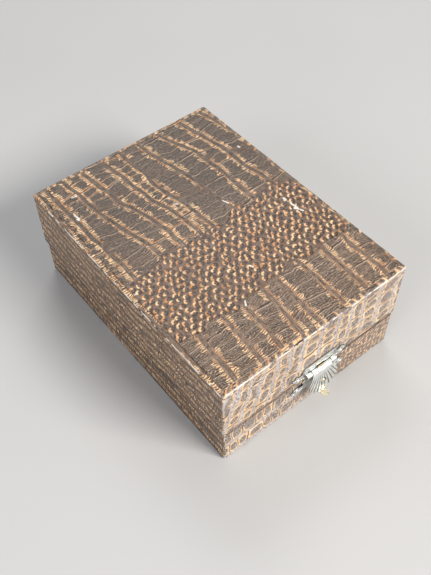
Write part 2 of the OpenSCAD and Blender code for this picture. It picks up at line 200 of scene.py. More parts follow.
# Where the channels cross the top's back part, at these distances from the front, and the
# front part, at its far and near ends, all from the left side.
BACK_AT = (66, 82, 98, 114, 140)
BACK_GROOVES = (
    (-3, -3, -3, -3, -3),
    (8, 8, 7, 7, 7),
    (25, 24, 20, 17, 16),
    (36, 35, 32, 28, 26),
    (46, 45, 42, 39, 38),
    (53, 52, 50, 48, 48),
    (67, 66, 64, 62, 57),
    (78, 78, 78, 77, 69),
    (92, 91, 89, 88, 83),
    (105, 104, 103, 102, 96),
    (116, 116, 116, 116, 112),
)
FRONT_GROOVES = (
    (-2, -3), (11, 9), (24, 22), (35, 33), (46, 44), (54, 53), (68, 67), (81, 80), (93, 92), (105, 104),
)


def top_hide(x, q):
    """The sheet on top: x from the left side, q from the front."""
    sway = wobble(x, q, 1.6, 0.7, 1)
    drift = wobble(x, q, 2.2, 1.3, 3)
    # the back part is darkened with painted shade, most towards the back
    back = scales(x + sway, q + drift, [np.interp(q, BACK_AT, g) for g in BACK_GROOVES], 6.2, 11,
                  channel=0.8, ovals=0.42, printed=0.12 + 0.3 * ramp(q, 100, 62))
    mid = bumps(x + sway, q + 0.6 * drift, 3.4, 12)
    near = scales(x + 0.8 * sway, q + drift, [g[1] + (g[0] - g[1]) * q / 31 for g in FRONT_GROOVES], 4.6, 13,
                  channel=0.8, ovals=0.05, rust=1.15)
    edge = 9 * (noise(x, q, 5.5, 5) - 0.5) - 0.08 * x
    far_w, near_w = ramp(q + edge, 60, 74), 1 - ramp(q + 0.6 * edge, 23, 34)
    return join((back, mid, near), (far_w, 1 - far_w - near_w, near_w))


def by_side(a, w, d):
    """How far each side claims the place a along an outline: front, right, back, left."""
    ends = (0, w, w + d, 2 * w + d, 2 * (w + d))
    claim = [np.minimum(a - low, high - a) for low, high in zip(ends, ends[1:])]
    claim[0] = np.maximum(claim[0], a - ends[4])
    claim[3] = np.maximum(claim[3], -a)
    return [np.clip(c + 0.5, 0, 1) for c in claim]


def even(low, high, step, seed):
    """Channels from low to high, about step apart."""
    r = np.random.default_rng(seed).uniform(0.82, 1.18, int((high - low) / step) + 1)
    return low + (high - low) * np.concatenate([[0], np.cumsum(r)]) / r.sum()


def lid_hide(a, b):
    """The band round the lid: a along its outline from the front left corner, b upwards."""
    w, d = CASE_W, CASE_D
    sway, drift = wobble(a, b, 2.4, 1.2, 6), wobble(a, b, 2.4, 1.2, 8)
    # columns on the front lean to the left, most of all at its left end
    leaning = [x - (0.03 + 0.28 * max(0, 1 - x / 65)) * (TOP_Z - b)
               for x in (*even(-8, 44, 7.0, 22)[:-1], *even(44, w + 12, 9.8, 27))]
    # the front face is greyed with a painted sheen, except where it turns in over the top
    front = scales(a + sway, b + drift, leaning, 6.6, 22, channel=0.9, corner=3.0, ovals=0.5, web=0.65,
                   printed=1.0 - 0.5 * ramp(b, TOP_Z - 0.4, TOP_Z + 0.6))
    # the right side is a little darkened with painted shade
    right = scales(a + sway + 0.15 * b, b + drift, even(w - 6, w + d + 12, 10, 23), 7.5, 24, corner=2.2,
                   ovals=0.25, web=0.3, printed=0.4)
    back = scales(a + sway - 0.1 * b, b + drift, even(w + d - 9, 2 * w + d + 9, 10, 25), 7.2, 26,
                  corner=2.4, ovals=0.3, web=0.4)
    arch = 2.4 * np.sin((a - 2 * w - d - 30) / 22.0)
    rows = (13, 18, 22, 26, 30.5, 35.5, 40, 45, 49.5, 54, 59)
    # the left side is darkened with painted shade
    left = scales(b + arch + 1.1 * sway, a + 1.5 * drift, rows, 6.5, 28, channel=0.7, ovals=0.1, web=0.15,
                  rust=1.3, printed=0.32)
    return join((front, right, back, left), by_side(a, w, d))


def base_hide(a, b):
    """The band round the base, laid out like the lid's."""
    w, d = BASE_W, CASE_D
    sway, drift = wobble(a, b, 1.2, 0.7, 10), wobble(a, b, 1.6, 0.8, 12)
    # the front's tiles and bumps are greyed with a painted sheen
    tiles = scales(b + 0.6 * sway, a + drift, (-6, 1.8, 11.9, 22.8, 30), 6.8, 31, channel=1.2, corner=2.8,
                   ovals=0.5, web=0.6, printed=1.0)
    small = bumps(a + sway, b + drift, 3.1, 32, -0.5, 0.8)
    from_clasp = ramp(a + 8 * (noise(a, b, 9, 14) - 0.5), 58, 74)
    front = join((tiles, small), (1 - from_clasp, from_clasp))
    right = scales(b + sway, a + drift, (-6, 1.5, 9, 16, 24, 30), 7.4, 33, ovals=0.25, web=0.4)
    back = scales(a + sway, b + drift, even(w + d - 9, 2 * w + d + 9, 9, 34), 7.2, 35, ovals=0.25, web=0.4)
    # the left side is darkened with painted shade
    left = scales(b + 0.8 * np.sin(a / 15.0) + sway, a + drift, (-4, 1, 6.5, 12, 17, 23, 30), 6.5, 36,
                  channel=0.7, ovals=0.2, web=0.3, rust=1.3, printed=0.12)
    return join((front, right, back, left), by_side(a, w, d))


# ---- Meshes ----

def piece_from(name, verts, faces, body, slot, replaced=(), sharp=180):
    """A finished piece from points in mm, in its slot's material, with edges over sharp degrees kept."""
    mesh = bpy.data.meshes.new(name)
    mesh.from_pydata((np.asarray(verts, float) * MM).tolist(), [], faces)
    mesh.polygons.foreach_set("use_smooth", [True] * len(mesh.polygons))
    mesh.materials.append(MATERIALS[slot])
    mesh.update()
    if sharp < 180:
        mesh.set_sharp_from_angle(angle=math.radians(sharp))
    return settle(bpy.data.objects.new(name, mesh), body, slot, replaced)


def settle(piece, body, slot, replaced=()):
    """Puts a piece in the scene, on its body, with the nodes it stands for. Its slot is not used."""
    if piece.name not in bpy.context.scene.collection.objects:
        bpy.context.scene.collection.objects.link(piece)
    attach(piece, body)
    if replaced:
        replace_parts(piece, *replaced)
    return piece


def store(piece, **values):
    """Keeps one number for each of the mesh's points under each name."""
    for name, value in values.items():
        layer = piece.data.attributes.new(name, "FLOAT", "POINT")
        layer.data.foreach_set("value", np.asarray(value, np.float32).ravel())


def grid_faces(rows, cols, closed_rows=False, closed_cols=False):
    """Quads on a grid of points. A closed direction joins its last points to its first."""
    i, j = np.meshgrid(np.arange(rows - (not closed_rows)), np.arange(cols - (not closed_cols)),
                       indexing="ij")
    i2, j2 = (i + 1) % rows, (j + 1) % cols
    quads = np.stack([i * cols + j, i * cols + j2, i2 * cols + j2, i2 * cols + j], -1)
    return quads.reshape(-1, 4).tolist()


def volume(verts, faces):
    """Signed volume of a closed mesh, to tell whether its faces point outwards."""
    v = np.asarray(verts, float)
    f = np.array([q for q in faces if len(q) == 4])
    a, b, c, d = (v[f[:, k]] for k in range(4))
    return (np.einsum("ij,ij->i", a, np.cross(b, c)) + np.einsum("ij,ij->i", a, np.cross(c, d))).sum() / 6


def outward(verts, faces):
    return faces if volume(verts, faces) > 0 else [f[::-1] for f in faces]


def outline(w, d, step):
    """Places round a rectangle as (side, distance along it, distance from the start)."""
    places, start = [], 0.0
    for side, run in enumerate((w, d, w, d)):
        n = max(2, round(run / step))
        places += [(side, run * t, start + run * t) for t in np.arange(n) / n]
        start += run
    return places


def outline_points(places, w, d, inset, radius=CORNER_R):
    """Those places moved in by inset, with the ends of the sides bent round the corners."""
    side = np.array([p[0] for p in places])
    u = np.array([p[1] for p in places])
    full = np.array([w, d, w, d])[side]
    hw, hd = w / 2 - inset, d / 2 - inset
    now = np.array([2 * hw, 2 * hd, 2 * hw, 2 * hd])[side]
    r = max(radius - inset, 0.03)
    bend = radius * math.pi / 4
    to_end = np.minimum(u, full - u)
    k = np.clip((bend - to_end) / bend, 0, 1) * math.pi / 4
    s_end = r - r * np.sin(k)
    s_mid = r + (to_end - bend) / (full / 2 - bend) * (now / 2 - r)
    s = np.where(to_end < bend, s_end, s_mid)
    s = np.where(u > full / 2, now - s, s)
    off = r - r * np.cos(k)
    start = np.array([(-hw, -hd), (hw, -hd), (hw, hd), (-hw, hd)])[side]
    way = np.array([(1, 0), (0, 1), (-1, 0), (0, -1)])[side]
    inward = np.stack([-way[:, 1], way[:, 0]], 1)
    return start + way * s[:, None] + inward * off[:, None]


def swept(profile, places, w, d, radius=CORNER_R):
    """A grid of points: a profile of (inset, z) taken round an outline."""
    grid = np.zeros((len(profile), len(places), 3))
    for m, (inset, z) in enumerate(profile):
        grid[m, :, :2] = outline_points(places, w, d, inset, radius)
        grid[m, :, 2] = z
    return grid


def cut(points, steps):
    """A profile cut into about steps mm, one step for each of its runs."""
    out = [points[0]]
    for p, q, step in zip(points, points[1:], steps):
        n = max(1, round(math.dist(p, q) / step))
        out += [(p[0] + (q[0] - p[0]) * k / n, p[1] + (q[1] - p[1]) * k / n) for k in range(1, n + 1)]
    return np.array(out)


def side_cover(name, low, high, lid, hide):
    """The paper band round a half, turned in over the panel and the rim, as one closed skin."""
    w, d = high[0] - low[0], high[1] - low[1]
    face, rim = (high[2], low[2]) if lid else (low[2], high[2])
    down = -1 if lid else 1  # from the panel's face to the rim
    r, inner = FOLD_R, PAPER + WALL + PAPER
    turns = np.linspace(0, math.pi / 2, 5)
    run_in = [(TURN_IN, face), (3.4, face)]
    fold = [(r - r * math.sin(k), face + down * (r - r * math.cos(k))) for k in turns]
    rim_fold = [(r - r * math.cos(k), rim - down * (r - r * math.sin(k))) for k in turns]
    tail = [(inner - 0.3, rim), (inner, rim - down * 0.3), (inner, rim - down * RIM_TURN_IN)]
    points = run_in + fold + rim_fold + tail
    steps = [2.4] + [0.5] * (len(fold) + len(rim_fold)) + [0.9, 0.4, 1.1]
    profile = cut(points, steps)
    run = np.concatenate([[0], np.cumsum(np.linalg.norm(np.diff(profile, axis=0), axis=1))])
    start = TURN_IN - r + r * math.pi / 2    # where the outer side starts along the profile
    side_end = start + abs(rim - face) - 2 * r
    b = face + down * (run - start + r)
    places = outline(w, d, 0.56)
    a = np.array([p[2] for p in places])
    grid = swept(profile, places, w, d)
    aa, bb = np.meshgrid(a, b)
    fields = hide(aa, bb)
    across = np.roll(grid, -1, 1) - np.roll(grid, 1, 1)
    normal = np.cross(across, np.gradient(grid, axis=0))
    normal /= np.maximum(np.linalg.norm(normal, axis=2, keepdims=True), 1e-9)
    middle = len(profile) // 2
    if (normal[middle, 0] * grid[middle, 0])[:2].sum() < 0:
        normal = -normal
    from_fold, from_rim = np.abs(run - start + 0.7 * r), np.abs(run - side_end - 0.5 * r)
    calm = 0.15 + 0.85 * ramp(np.minimum(from_fold, from_rim), 0.4, 1.8)
    corner = np.min([np.abs(a - c) for c in (0, w, w + d, 2 * w + d, 2 * (w + d))], axis=0)
    calm = np.minimum(calm[:, None], (0.15 + 0.85 * ramp(corner, 0.5, 1.8))[None])
    fade = np.where(run < start, 1 - ramp(profile[:, 0], 2.2, 2.6), 1.0)
    fade = np.where(run > side_end, 1 - ramp(run - side_end, 0.6, 1.6), fade)
    sunk = (fields["relief"] - 0.28) * calm - 0.05 * (1 - calm)
    grid = grid + normal * (sunk * fade[:, None])[..., None]

    rough = 0.6 * noise(aa, bb, 2.2, 41) + 0.4 * noise(aa, bb, 0.8, 42)
    wear = np.exp(-((from_fold / 0.28) ** 2))[:, None] * ramp(rough, 0.3, 0.62)
    wear = np.maximum(wear, 0.45 * np.exp(-((from_rim / 0.3) ** 2))[:, None] * ramp(rough, 0.4, 0.8))
    tips = np.exp(-np.minimum(from_fold, from_rim) / 3.0)[:, None]
    at_corner = np.exp(-((corner / 0.7) ** 2))[None] * ramp(rough, 0.35, 0.75)
    wear = np.maximum(wear, at_corner * (0.35 + 0.65 * tips))

    # painted shade along the seam between the halves: the sheet is darker and less rusty there
    for key in ("printed", "amber"):
        fields[key] = fields[key] * (1 - 0.95 * np.exp(-((from_rim / 0.8) ** 2)))[:, None]

    tangent = np.gradient(profile, axis=0)
    tangent /= np.linalg.norm(tangent, axis=1, keepdims=True)
    inwards = np.stack([-tangent[:, 1], tangent[:, 0]], 1)
    inwards *= np.sign(inwards[middle, 0])
    rows = sorted(set(range(0, len(profile), 7)) | {len(profile) - 1})[::-1]
    back = swept((profile + inwards * PAPER)[rows], places, w, d)
    verts = np.concatenate([grid, back]).reshape(-1, 3)
    faces = outward(verts, grid_faces(len(profile) + len(rows), len(places), True, True))
    piece = piece_from(name, verts, faces, "lid" if lid else "base", "paper", [name])
    fields["wear"] = wear
    filler = np.zeros((len(rows), len(places)))
    store(piece, **{k: np.concatenate([v, filler]) for k, v in fields.items() if k != "relief"})


def slab(name, step, height, upward, corner, floor_z):
    """A sheet in a node's box whose outer face is height(x, y, rim), as one closed skin. rim is how
    far a place is from the sheet's edge."""
    low, high = box_mm(name)
    nx, ny = round((high[0] - low[0]) / step) + 1, round((high[1] - low[1]) / step) + 1
    x, y = np.meshgrid(np.linspace(low[0], high[0], nx), np.linspace(low[1], high[1], ny))
    cx, cy = np.clip(x, low[0] + corner, high[0] - corner), np.clip(y, low[1] + corner, high[1] - corner)
    away = np.hypot(x - cx, y - cy)
    k = np.where(away > corner, corner / np.maximum(away, 1e-6), 1)
    x, y = cx + (x - cx) * k, cy + (y - cy) * k
    rim = np.minimum.reduce([x - low[0], high[0] - x, y - low[1], high[1] - y])
    top = np.stack([x, y, height(x, y, rim)], -1)
    ring = [(0, j) for j in range(nx)] + [(i, nx - 1) for i in range(1, ny)]
    ring += [(ny - 1, j) for j in range(nx - 2, -1, -1)] + [(i, 0) for i in range(ny - 2, 0, -1)]
    start, n = nx * ny, len(ring)
    verts = np.concatenate([top.reshape(-1, 3), [(top[i, j, 0], top[i, j, 1], floor_z) for i, j in ring]])
    at = [i * nx + j for i, j in ring]
    walls = [[at[m], start + m, start + (m + 1) % n, at[(m + 1) % n]] for m in range(n)]
    faces = grid_faces(ny, nx) + walls + [list(range(start, start + n))[::-1]]
    return verts, faces if upward else [f[::-1] for f in faces], x, y, rim, n


# White scuffs on the top: both ends from the left front corner, and half the width.
SCUFFS = (
    (88.5, 64.5, 89.3, 53.5, 0.4), (88.0, 56, 90.0, 52.5, 0.45), (8.0, 117, 8.8, 110, 0.4),
    (7.6, 113, 9.5, 108.5, 0.3), (95.2, 104.6, 95.5, 103.6, 0.4), (35.0, 27.5, 36.4, 29.8, 0.3),
    (47, 93, 49, 91.5, 0.25), (2.2, 61.5, 4.6, 60.3, 0.3), (66, 80.5, 67, 77.5, 0.25),
    (13, 126, 15.5, 125.4, 0.25), (50.2, 43, 50.8, 41.5, 0.3),
)


def flat_cover(name, body, hide, step, upward):
    """The paper sheet stuck on a panel."""
    out = 1 if upward else -1
    z_out = box_mm(name)[1 if upward else 0][2]
    kept = {}

    def height(x, y, rim):
        kept.update(hide(x + CASE_W / 2, y + CASE_D / 2))
        sit = ramp(rim, 0, 0.7)
        lift = kept["relief"] - 0.28 if upward else np.minimum(kept["relief"] - 0.36, 0)
        return z_out + out * (lift * (0.15 + 0.85 * sit) - 0.1 * (1 - sit))

    verts, faces, x, y, rim, extra = slab(name, step, height, upward, 0.8, z_out - out * 0.38)
    piece = piece_from(name, verts, faces, body, "paper", [name])
    x, y = x + CASE_W / 2, y + CASE_D / 2
    rough = 0.6 * noise(x, y, 1.6, 43) + 0.4 * noise(x, y, 0.6, 44)
    wear = 0.42 * np.exp(-((rim / 0.35) ** 2)) * ramp(rough, 0.0, 0.5)
    for x0, y0, x1, y1, half in SCUFFS if upward else ():
        t = np.clip(((x - x0) * (x1 - x0) + (y - y0) * (y1 - y0)) / ((x1 - x0) ** 2 + (y1 - y0) ** 2), 0, 1)
        away = np.hypot(x - x0 - t * (x1 - x0), y - y0 - t * (y1 - y0))
        wear = np.maximum(wear, (1 - ramp(away, 0.4 * half, 1.7 * half)) * ramp(rough, 0.2, 0.5))
    kept["wear"] = wear
    store(piece, **{k: np.concatenate([v.ravel(), np.full(extra, 1.0 if k == "gap" else 0.3)])
                    for k, v in kept.items() if k != "relief"})


def pad(name, body, upward):
    """A flocked pad with soft edges, a little uneven."""
    z_out = box_mm(name)[1 if upward else 0][2]
    out = 1 if upward else -1

    def height(x, y, rim):
        soft = 0.9 * (1 - np.sqrt(np.clip(1 - (1 - np.clip(rim / 0.9, 0, 1)) ** 2, 0, 1)))
        uneven = 0.10 * noise(x, y, 17, 51) + 0.05 * noise(x, y, 5, 52)
        return z_out - out * (soft + uneven)

    verts, faces, *_ = slab(name, 0.8, height, upward, 0.6, box_mm(name)[0 if upward else 1][2])
    piece_from(name, verts, faces, body, "lining", [name])


def wall_lining(name, body):
    """The flocked strip on the walls, thinner where it laps over the turned-in paper."""
    low, high = box_mm(name)
    w, d = high[0] - low[0], high[1] - low[1]
    lid = body == "lid"
    foot, lip = (high[2], low[2]) if lid else (low[2], high[2])
    up = -1 if lid else 1
    lap = RIM_TURN_IN - 2.0  # how far the strip laps over the paper
    loop = [(0.8, foot), (0.8, lip - up * 0.25), (0.72, lip - up * 0.08), (0.6, lip), (0.45, lip),
            (0.42, lip - up * 0.1), (0.42, lip - up * lap), (0.02, lip - up * lap), (0.02, foot)]
    profile = cut(loop, [1.0, 0.1, 0.1, 0.2, 0.1, 1.3, 0.4, 3.0])
    places = outline(w, d, 1.0)
    grid = swept(profile, places, w, d, 1.4)
    a = np.array([p[2] for p in places])
    inside = profile[:, 0] > 0.7
    uneven = noise(a[None], profile[inside, 1][:, None], 9, 53) - 0.5
    grid[inside, :, :2] *= 1 + (0.0012 * uneven)[..., None]
    verts = grid.reshape(-1, 3)
    faces = outward(verts, grid_faces(len(profile), len(places), True, True))
    piece_from(name, verts, faces, body, "lining", [name])


# ---- Nodes: one function adds any node ----

MATH, MIX, NOISE, BUMP = "ShaderNodeMath", "ShaderNodeMix", "ShaderNodeTexNoise", "ShaderNodeBump"
RAMP, VECTOR, XYZ = "ShaderNodeMapRange", "ShaderNodeVectorMath", "ShaderNodeCombineXYZ"
SOFT = dict(interpolation_type="SMOOTHSTEP")
PAINT = dict(data_type="RGBA", out=2)
TIMES, PLUS, MINUS, TIMES_PLUS, GREATER, ABSOLUTE, SINE, COSINE = (
    dict(operation=k) for k in ("MULTIPLY", "ADD", "SUBTRACT", "MULTIPLY_ADD", "MAXIMUM", "ABSOLUTE",
                                "SINE", "COSINE"))


def add(tree, kind, *values, out=0, **settings):
    """Adds a node with its settings and gives back its output. A value is for the next socket,
    or for the one named in (socket, value), and is a number, a colour or another output."""
    node = tree.nodes.new(kind)
    for key, value in settings.items():
        setattr(node, key, value)
    for place, value in enumerate(values):
        socket, value = value if isinstance(value, tuple) and len(value) == 2 else (place, value)
        if isinstance(value, bpy.types.NodeSocket):
            tree.links.new(value, node.inputs[socket])
        else:
            node.inputs[socket].default_value = linear(value) if str(value)[0] == "#" else value
    return node.outputs[out] if len(node.outputs) else node


def linear(colour):
    """An sRGB hex colour in linear light."""
    rgb = [int(colour[k:k + 2], 16) / 255 for k in (1, 3, 5)]
    return [c / 12.92 if c <= 0.04045 else ((c + 0.055) / 1.055) ** 2.4 for c in rgb] + [1.0]


def start_material(name):
    """A new material, its tree, and the place on the object in mm."""
    material = bpy.data.materials.new(name)
    material.use_nodes = True
    material.node_tree.nodes.clear()
    tree = material.node_tree
    place = add(tree, "ShaderNodeTexCoord", out="Object")
    return material, tree, add(tree, VECTOR, place, [1 / MM] * 3, **TIMES)


def end_material(material, **sockets):
    """Ends a material's tree in one Principled surface."""
    tree = material.node_tree
    surface = add(tree, "ShaderNodeBsdfPrincipled", *[(k.replace("_", " "), v) for k, v in sockets.items()])
    add(tree, "ShaderNodeOutputMaterial", ("Surface", surface))
    return material


def hide_paper():
    """Embossed paper, inked in grey-brown, rubbed with rust on the margins and lacquered: a dark
    broken pattern with a soft gloss, going to white fibre where it is worn. Some sides are darkened
    with painted shade and the front faces greyed with a painted sheen, and the bumps and cracks
    carry painted shadow and painted highlight."""
    material, t, mm = start_material("embossed_lacquered_paper")
    gap, cell, phase, along, tone, amber, web, facing, bumpy, printed, wear = (
        add(t, "ShaderNodeAttribute", attribute_name=n, out="Fac") for n in (*FIELDS[1:], "wear"))
    fibre = add(t, NOISE, ("Vector", mm), ("Scale", 2.6), ("Detail", 2.0), ("Roughness", 0.6))
    mid = add(t, NOISE, ("Vector", mm), ("Scale", 0.42), ("Detail", 2.0))
    wide = add(t, NOISE, ("Vector", mm), ("Scale", 0.07), ("Detail", 1.0))
    # grain of the embossing, 1 mm across, coarser than the real 0.3 mm so that it shows
    grain = add(t, NOISE, ("Vector", mm), ("Scale", 1.0), ("Detail", 1.0), ("Roughness", 0.5))
    scaly = add(t, MATH, 1.0, bumpy, **MINUS)
    on_scale = add(t, MATH, add(t, RAMP, gap, 0.95, 1.25, **SOFT), scaly, **TIMES)
    shift = add(t, MATH, mid, 2.2, along, **TIMES_PLUS)

    # the scales: brown, with fine wavy lines across them every 0.9 mm
    paint = add(t, MIX, (0, add(t, RAMP, mid, 0.3, 0.7, **SOFT)), (6, "#453227"), (7, "#725848"), **PAINT)
    toned = add(t, RAMP, tone, 0.0, 1.0, 1.0, 0.5)
    deep = add(t, MATH, add(t, RAMP, cell, 0.1, 1.5, **SOFT), toned, **TIMES)
    deep = add(t, MATH, deep, scaly, **TIMES)
    paint = add(t, MIX, (0, deep), (6, paint), (7, "#1a120c"), **PAINT)
    fibrous = add(t, RAMP, fibre, 0.42, 0.66, 0.0, 0.4, **SOFT)
    paint = add(t, MIX, (0, fibrous), (6, paint), (7, "#a68d77"), **PAINT)
    lines = add(t, MATH, add(t, MATH, shift, 2 * math.pi / 0.92, **TIMES), **SINE)
    lit = add(t, RAMP, lines, 0.35, 0.95, **SOFT)
    lit = add(t, MATH, lit, add(t, RAMP, fibre, 0.4, 0.62, **SOFT), **TIMES)
    lit = add(t, MATH, lit, add(t, MATH, on_scale, 0.7, **TIMES), **TIMES)
    dim = add(t, RAMP, lines, -0.35, -0.9, **SOFT)
    dim = add(t, MATH, dim, add(t, RAMP, fibre, 0.6, 0.4, **SOFT), **TIMES)
    dim = add(t, MATH, dim, add(t, MATH, on_scale, 0.8, **TIMES), **TIMES)
    # the channels: smooth grey-brown with a hairline at each side
    channel = add(t, MATH, add(t, RAMP, gap, 1.2, 0.8, **SOFT), scaly, **TIMES)
    lengthwise = add(t, XYZ, add(t, MATH, gap, 4.0, **TIMES), add(t, MATH, along, 0.35, **TIMES), tone)
    streak = add(t, NOISE, ("Vector", lengthwise), ("Scale", 1.0), ("Detail", 2.0))
    streaked = add(t, RAMP, streak, 0.4, 0.58, **SOFT)
    streaked = add(t, MIX, (0, streaked), (6, "#3d2f25"), (7, "#8a7260"), **PAINT)
    hair = add(t, MATH, add(t, RAMP, gap, 0.72, 0.86, **SOFT), add(t, RAMP, gap, 1.12, 0.96, **SOFT), **TIMES)
    hair = add(t, MATH, hair, add(t, RAMP, fibre, 0.4, 0.55, 0.0, 0.45, **SOFT), **TIMES)
    # the margins: combs with a tooth every 1.05 mm, of uneven length, and solid at rounded corners
    comb = add(t, MATH, add(t, MATH, shift, 2 * math.pi / 1.05, **TIMES), **SINE)
    tooth = add(t, RAMP, comb, -0.35, 0.35, **SOFT)
    shrunk = add(t, VECTOR, mm, [0.9, 0.9, 0.9], **TIMES)
    uneven = add(t, NOISE, ("Vector", shrunk), ("Scale", 0.55), ("Detail", 1.0))
    reach = add(t, RAMP, uneven, 0.3, 0.7, 0.7, 2.6, **SOFT)
    reach = add(t, MATH, reach, add(t, RAMP, printed, 0.5, 1.0, 1.0, 0.5), **TIMES)
    edge = add(t, MATH, gap, 1.05, **MINUS)
    inside = add(t, MATH, reach, edge, **MINUS)
    teeth = add(t, MATH, add(t, RAMP, inside, -0.1, 0.35, **SOFT), tooth, **TIMES)
    border = add(t, MATH, web, 0.9, **TIMES)
    solid = add(t, RAMP, add(t, MATH, border, cell, **MINUS), -0.15, 0.25, **SOFT)
    solid = add(t, MATH, solid, add(t, RAMP, web, 0.0, 0.5), **TIMES)
    solid = add(t, MATH, solid, add(t, RAMP, cell, -0.75, -0.45, **SOFT), **TIMES)
    rust = add(t, MATH, add(t, MATH, teeth, solid, **GREATER), on_scale, **TIMES)
    # the bumps: rubbed rusty on one side, with painted shadow at the foot of the side away from it, in the
    # pits between, and dark in the middle
    rubbed = add(t, RAMP, facing, 0.0, 0.5, **SOFT)
    rubbed = add(t, MATH, rubbed, add(t, RAMP, cell, 0.2, 0.45, **SOFT), **TIMES)
    rubbed = add(t, MATH, rubbed, add(t, RAMP, cell, 1.3, 1.0, **SOFT), **TIMES)
    rubbed = add(t, MATH, rubbed, bumpy, **TIMES)
    behind = add(t, RAMP, facing, 0.1, -0.4, 0.0, 0.9, **SOFT)
    behind = add(t, MATH, behind, add(t, RAMP, cell, 1.15, 0.75, **SOFT), **TIMES)
    behind = add(t, MATH, behind, add(t, RAMP, cell, 0.0, 0.4, **SOFT), **TIMES)
    pits = add(t, MATH, behind, add(t, RAMP, cell, 1.15, 1.45, 0.0, 0.85, **SOFT), **GREATER)
    pits = add(t, MATH, pits, bumpy, **TIMES)
    rust = add(t, MATH, rust, rubbed, **GREATER)
    rust = add(t, MATH, rust, add(t, RAMP, amber, 0.15, 0.6, **SOFT), **TIMES)
    rust = add(t, MATH, rust, add(t, RAMP, fibre, 0.3, 0.48, 0.5, 1.0, **SOFT), **TIMES)
    rusty = add(t, RAMP, uneven, 0.35, 0.65, **SOFT)
    rusty = add(t, MIX, (0, rusty), (6, "#cb8b54"), (7, "#f4cfa0"), **PAINT)
    # on the faces with the painted sheen the rust is paled as well
    rusty = add(t, MIX, (0, add(t, RAMP, printed, 0.5, 1.0, 0.0, 0.35)), (6, rusty), (7, "#efdcb8"), **PAINT)
    # the cracks between scales: a dark line of painted shade, and beside it a pale line of painted highlight
    # on the lip
    cracks = []
    for lag, low, high in ((0.0, 0.452, 0.482), (0.075, 0.455, 0.485)):
        part = add(t, MATH, add(t, MATH, phase, lag, **PLUS), operation="FRACT")
        part = add(t, MATH, add(t, MATH, part, 0.5, **MINUS), **ABSOLUTE)
        cracks.append(add(t, MATH, add(t, RAMP, part, low, high, **SOFT), on_scale, **TIMES))
    lip = add(t, MATH, cracks[1], add(t, RAMP, fibre, 0.38, 0.55, 0.05, 0.75, **SOFT), **TIMES)
    bare = add(t, RAMP, wear, 0.25, 0.55, **SOFT)
    bare = add(t, MATH, bare, add(t, RAMP, fibre, 0.25, 0.5, 0.5, 1.0, **SOFT), **TIMES)
    for mask, colour in ((channel, streaked), (hair, "#c0a388"), (lit, "#dcc1a4"), (dim, "#160f0a"),
                         (pits, "#211912")):
        paint = add(t, MIX, (0, mask), (6, paint), (7, colour), **PAINT)

    # painted shade and painted sheen: some sides darkened with painted shade, and the front faces greyed with
    # a painted sheen, most on the channels and broken by the fibre
    dark = add(t, RAMP, printed, 0.5, 0.0, 0.0, 0.65)
    paint = add(t, MIX, (0, dark), (6, paint), (7, "#1c140e"), **PAINT)
    sheen_share = add(t, RAMP, fibre, 0.35, 0.6, 0.25, 0.75, **SOFT)
    sheen_share = add(t, MATH, add(t, MATH, channel, sheen_share, **TIMES), 0.24, **PLUS)
    painted_sheen = add(t, MATH, add(t, RAMP, printed, 0.5, 1.0), sheen_share, **TIMES)
    paint = add(t, MIX, (0, painted_sheen), (6, paint), (7, "#c2bbbb"), **PAINT)
    clear = add(t, RAMP, printed, 0.5, 1.0, 0.25, 1.0)
    for low, high, most, shade in ((0.53, 0.68, 0.5, "#d9c6b2"), (0.47, 0.34, 0.7, "#150e09")):
        flecks = add(t, MATH, add(t, RAMP, grain, low, high, 0.0, most, **SOFT), clear, **TIMES)
        paint = add(t, MIX, (0, flecks), (6, paint), (7, shade), **PAINT)

    # over the paint: rust, the cracks' painted shade and the painted highlight on their lips, bare fibre and
    # wide stains
    for mask, colour in ((rust, rusty), (cracks[0], "#2a221d"), (lip, "#d6bda2"), (bare, "#e2ddd2")):
        paint = add(t, MIX, (0, mask), (6, paint), (7, colour), **PAINT)
    stain = add(t, RAMP, wide, 0.35, 0.7, 0.0, 0.2, **SOFT)
    paint = add(t, MIX, (0, stain), (6, paint), (7, "#5c4536"), **PAINT)

    height = add(t, MATH, lines, 0.25, fibre, **TIMES_PLUS)
    height = add(t, MATH, grain, 0.4, height, **TIMES_PLUS)
    height = add(t, MATH, rust, 0.7, height, **TIMES_PLUS)
    height = add(t, MATH, cracks[0], -1.2, height, **TIMES_PLUS)
    normal = add(t, BUMP, ("Height", height), ("Distance", 0.1 * MM), ("Strength", 0.8))
    gloss = add(t, RAMP, fibre, 0.25, 0.75, 0.32, 0.5)
    gloss = add(t, MATH, bare, 0.3, gloss, **TIMES_PLUS)
    return end_material(material, Base_Color=paint, Roughness=gloss, Normal=normal, Specular_IOR_Level=0.35,
                        Coat_Weight=0.12, Coat_Roughness=0.3)


def plain_metal(name, light, dark, rough, lines, scratch):
    """A plated or drawn metal: its own colour, dull patches, tarnish and painted shade in its grooves,
    and fine lines in the given direction."""
    material, t, mm = start_material(name)
    dull = add(t, NOISE, ("Vector", mm), ("Scale", 0.5), ("Detail", 3.0), ("Roughness", 0.6))
    along = add(t, VECTOR, mm, lines, **TIMES)
    fine = add(t, NOISE, ("Vector", along), ("Scale", 1.0), ("Detail", 3.0), ("Roughness", 0.6))
    paint = add(t, MIX, (0, add(t, RAMP, dull, 0.38, 0.7, **SOFT)), (6, light), (7, dark), **PAINT)
    # groove: tarnish and painted shade, darker in the grooves
    groove = add(t, "ShaderNodeAttribute", attribute_name="groove", out="Fac")
    paint = add(t, MIX, (0, groove), (6, paint), (7, "#6d6c66"), **PAINT)
    gloss = add(t, RAMP, dull, 0.3, 0.75, *rough)
    gloss = add(t, MATH, fine, scratch, gloss, **TIMES_PLUS)
    normal = add(t, BUMP, ("Height", fine), ("Distance", 0.02 * MM), ("Strength", 0.5))
    return end_material(material, Base_Color=paint, Roughness=gloss, Normal=normal, Metallic=1.0)


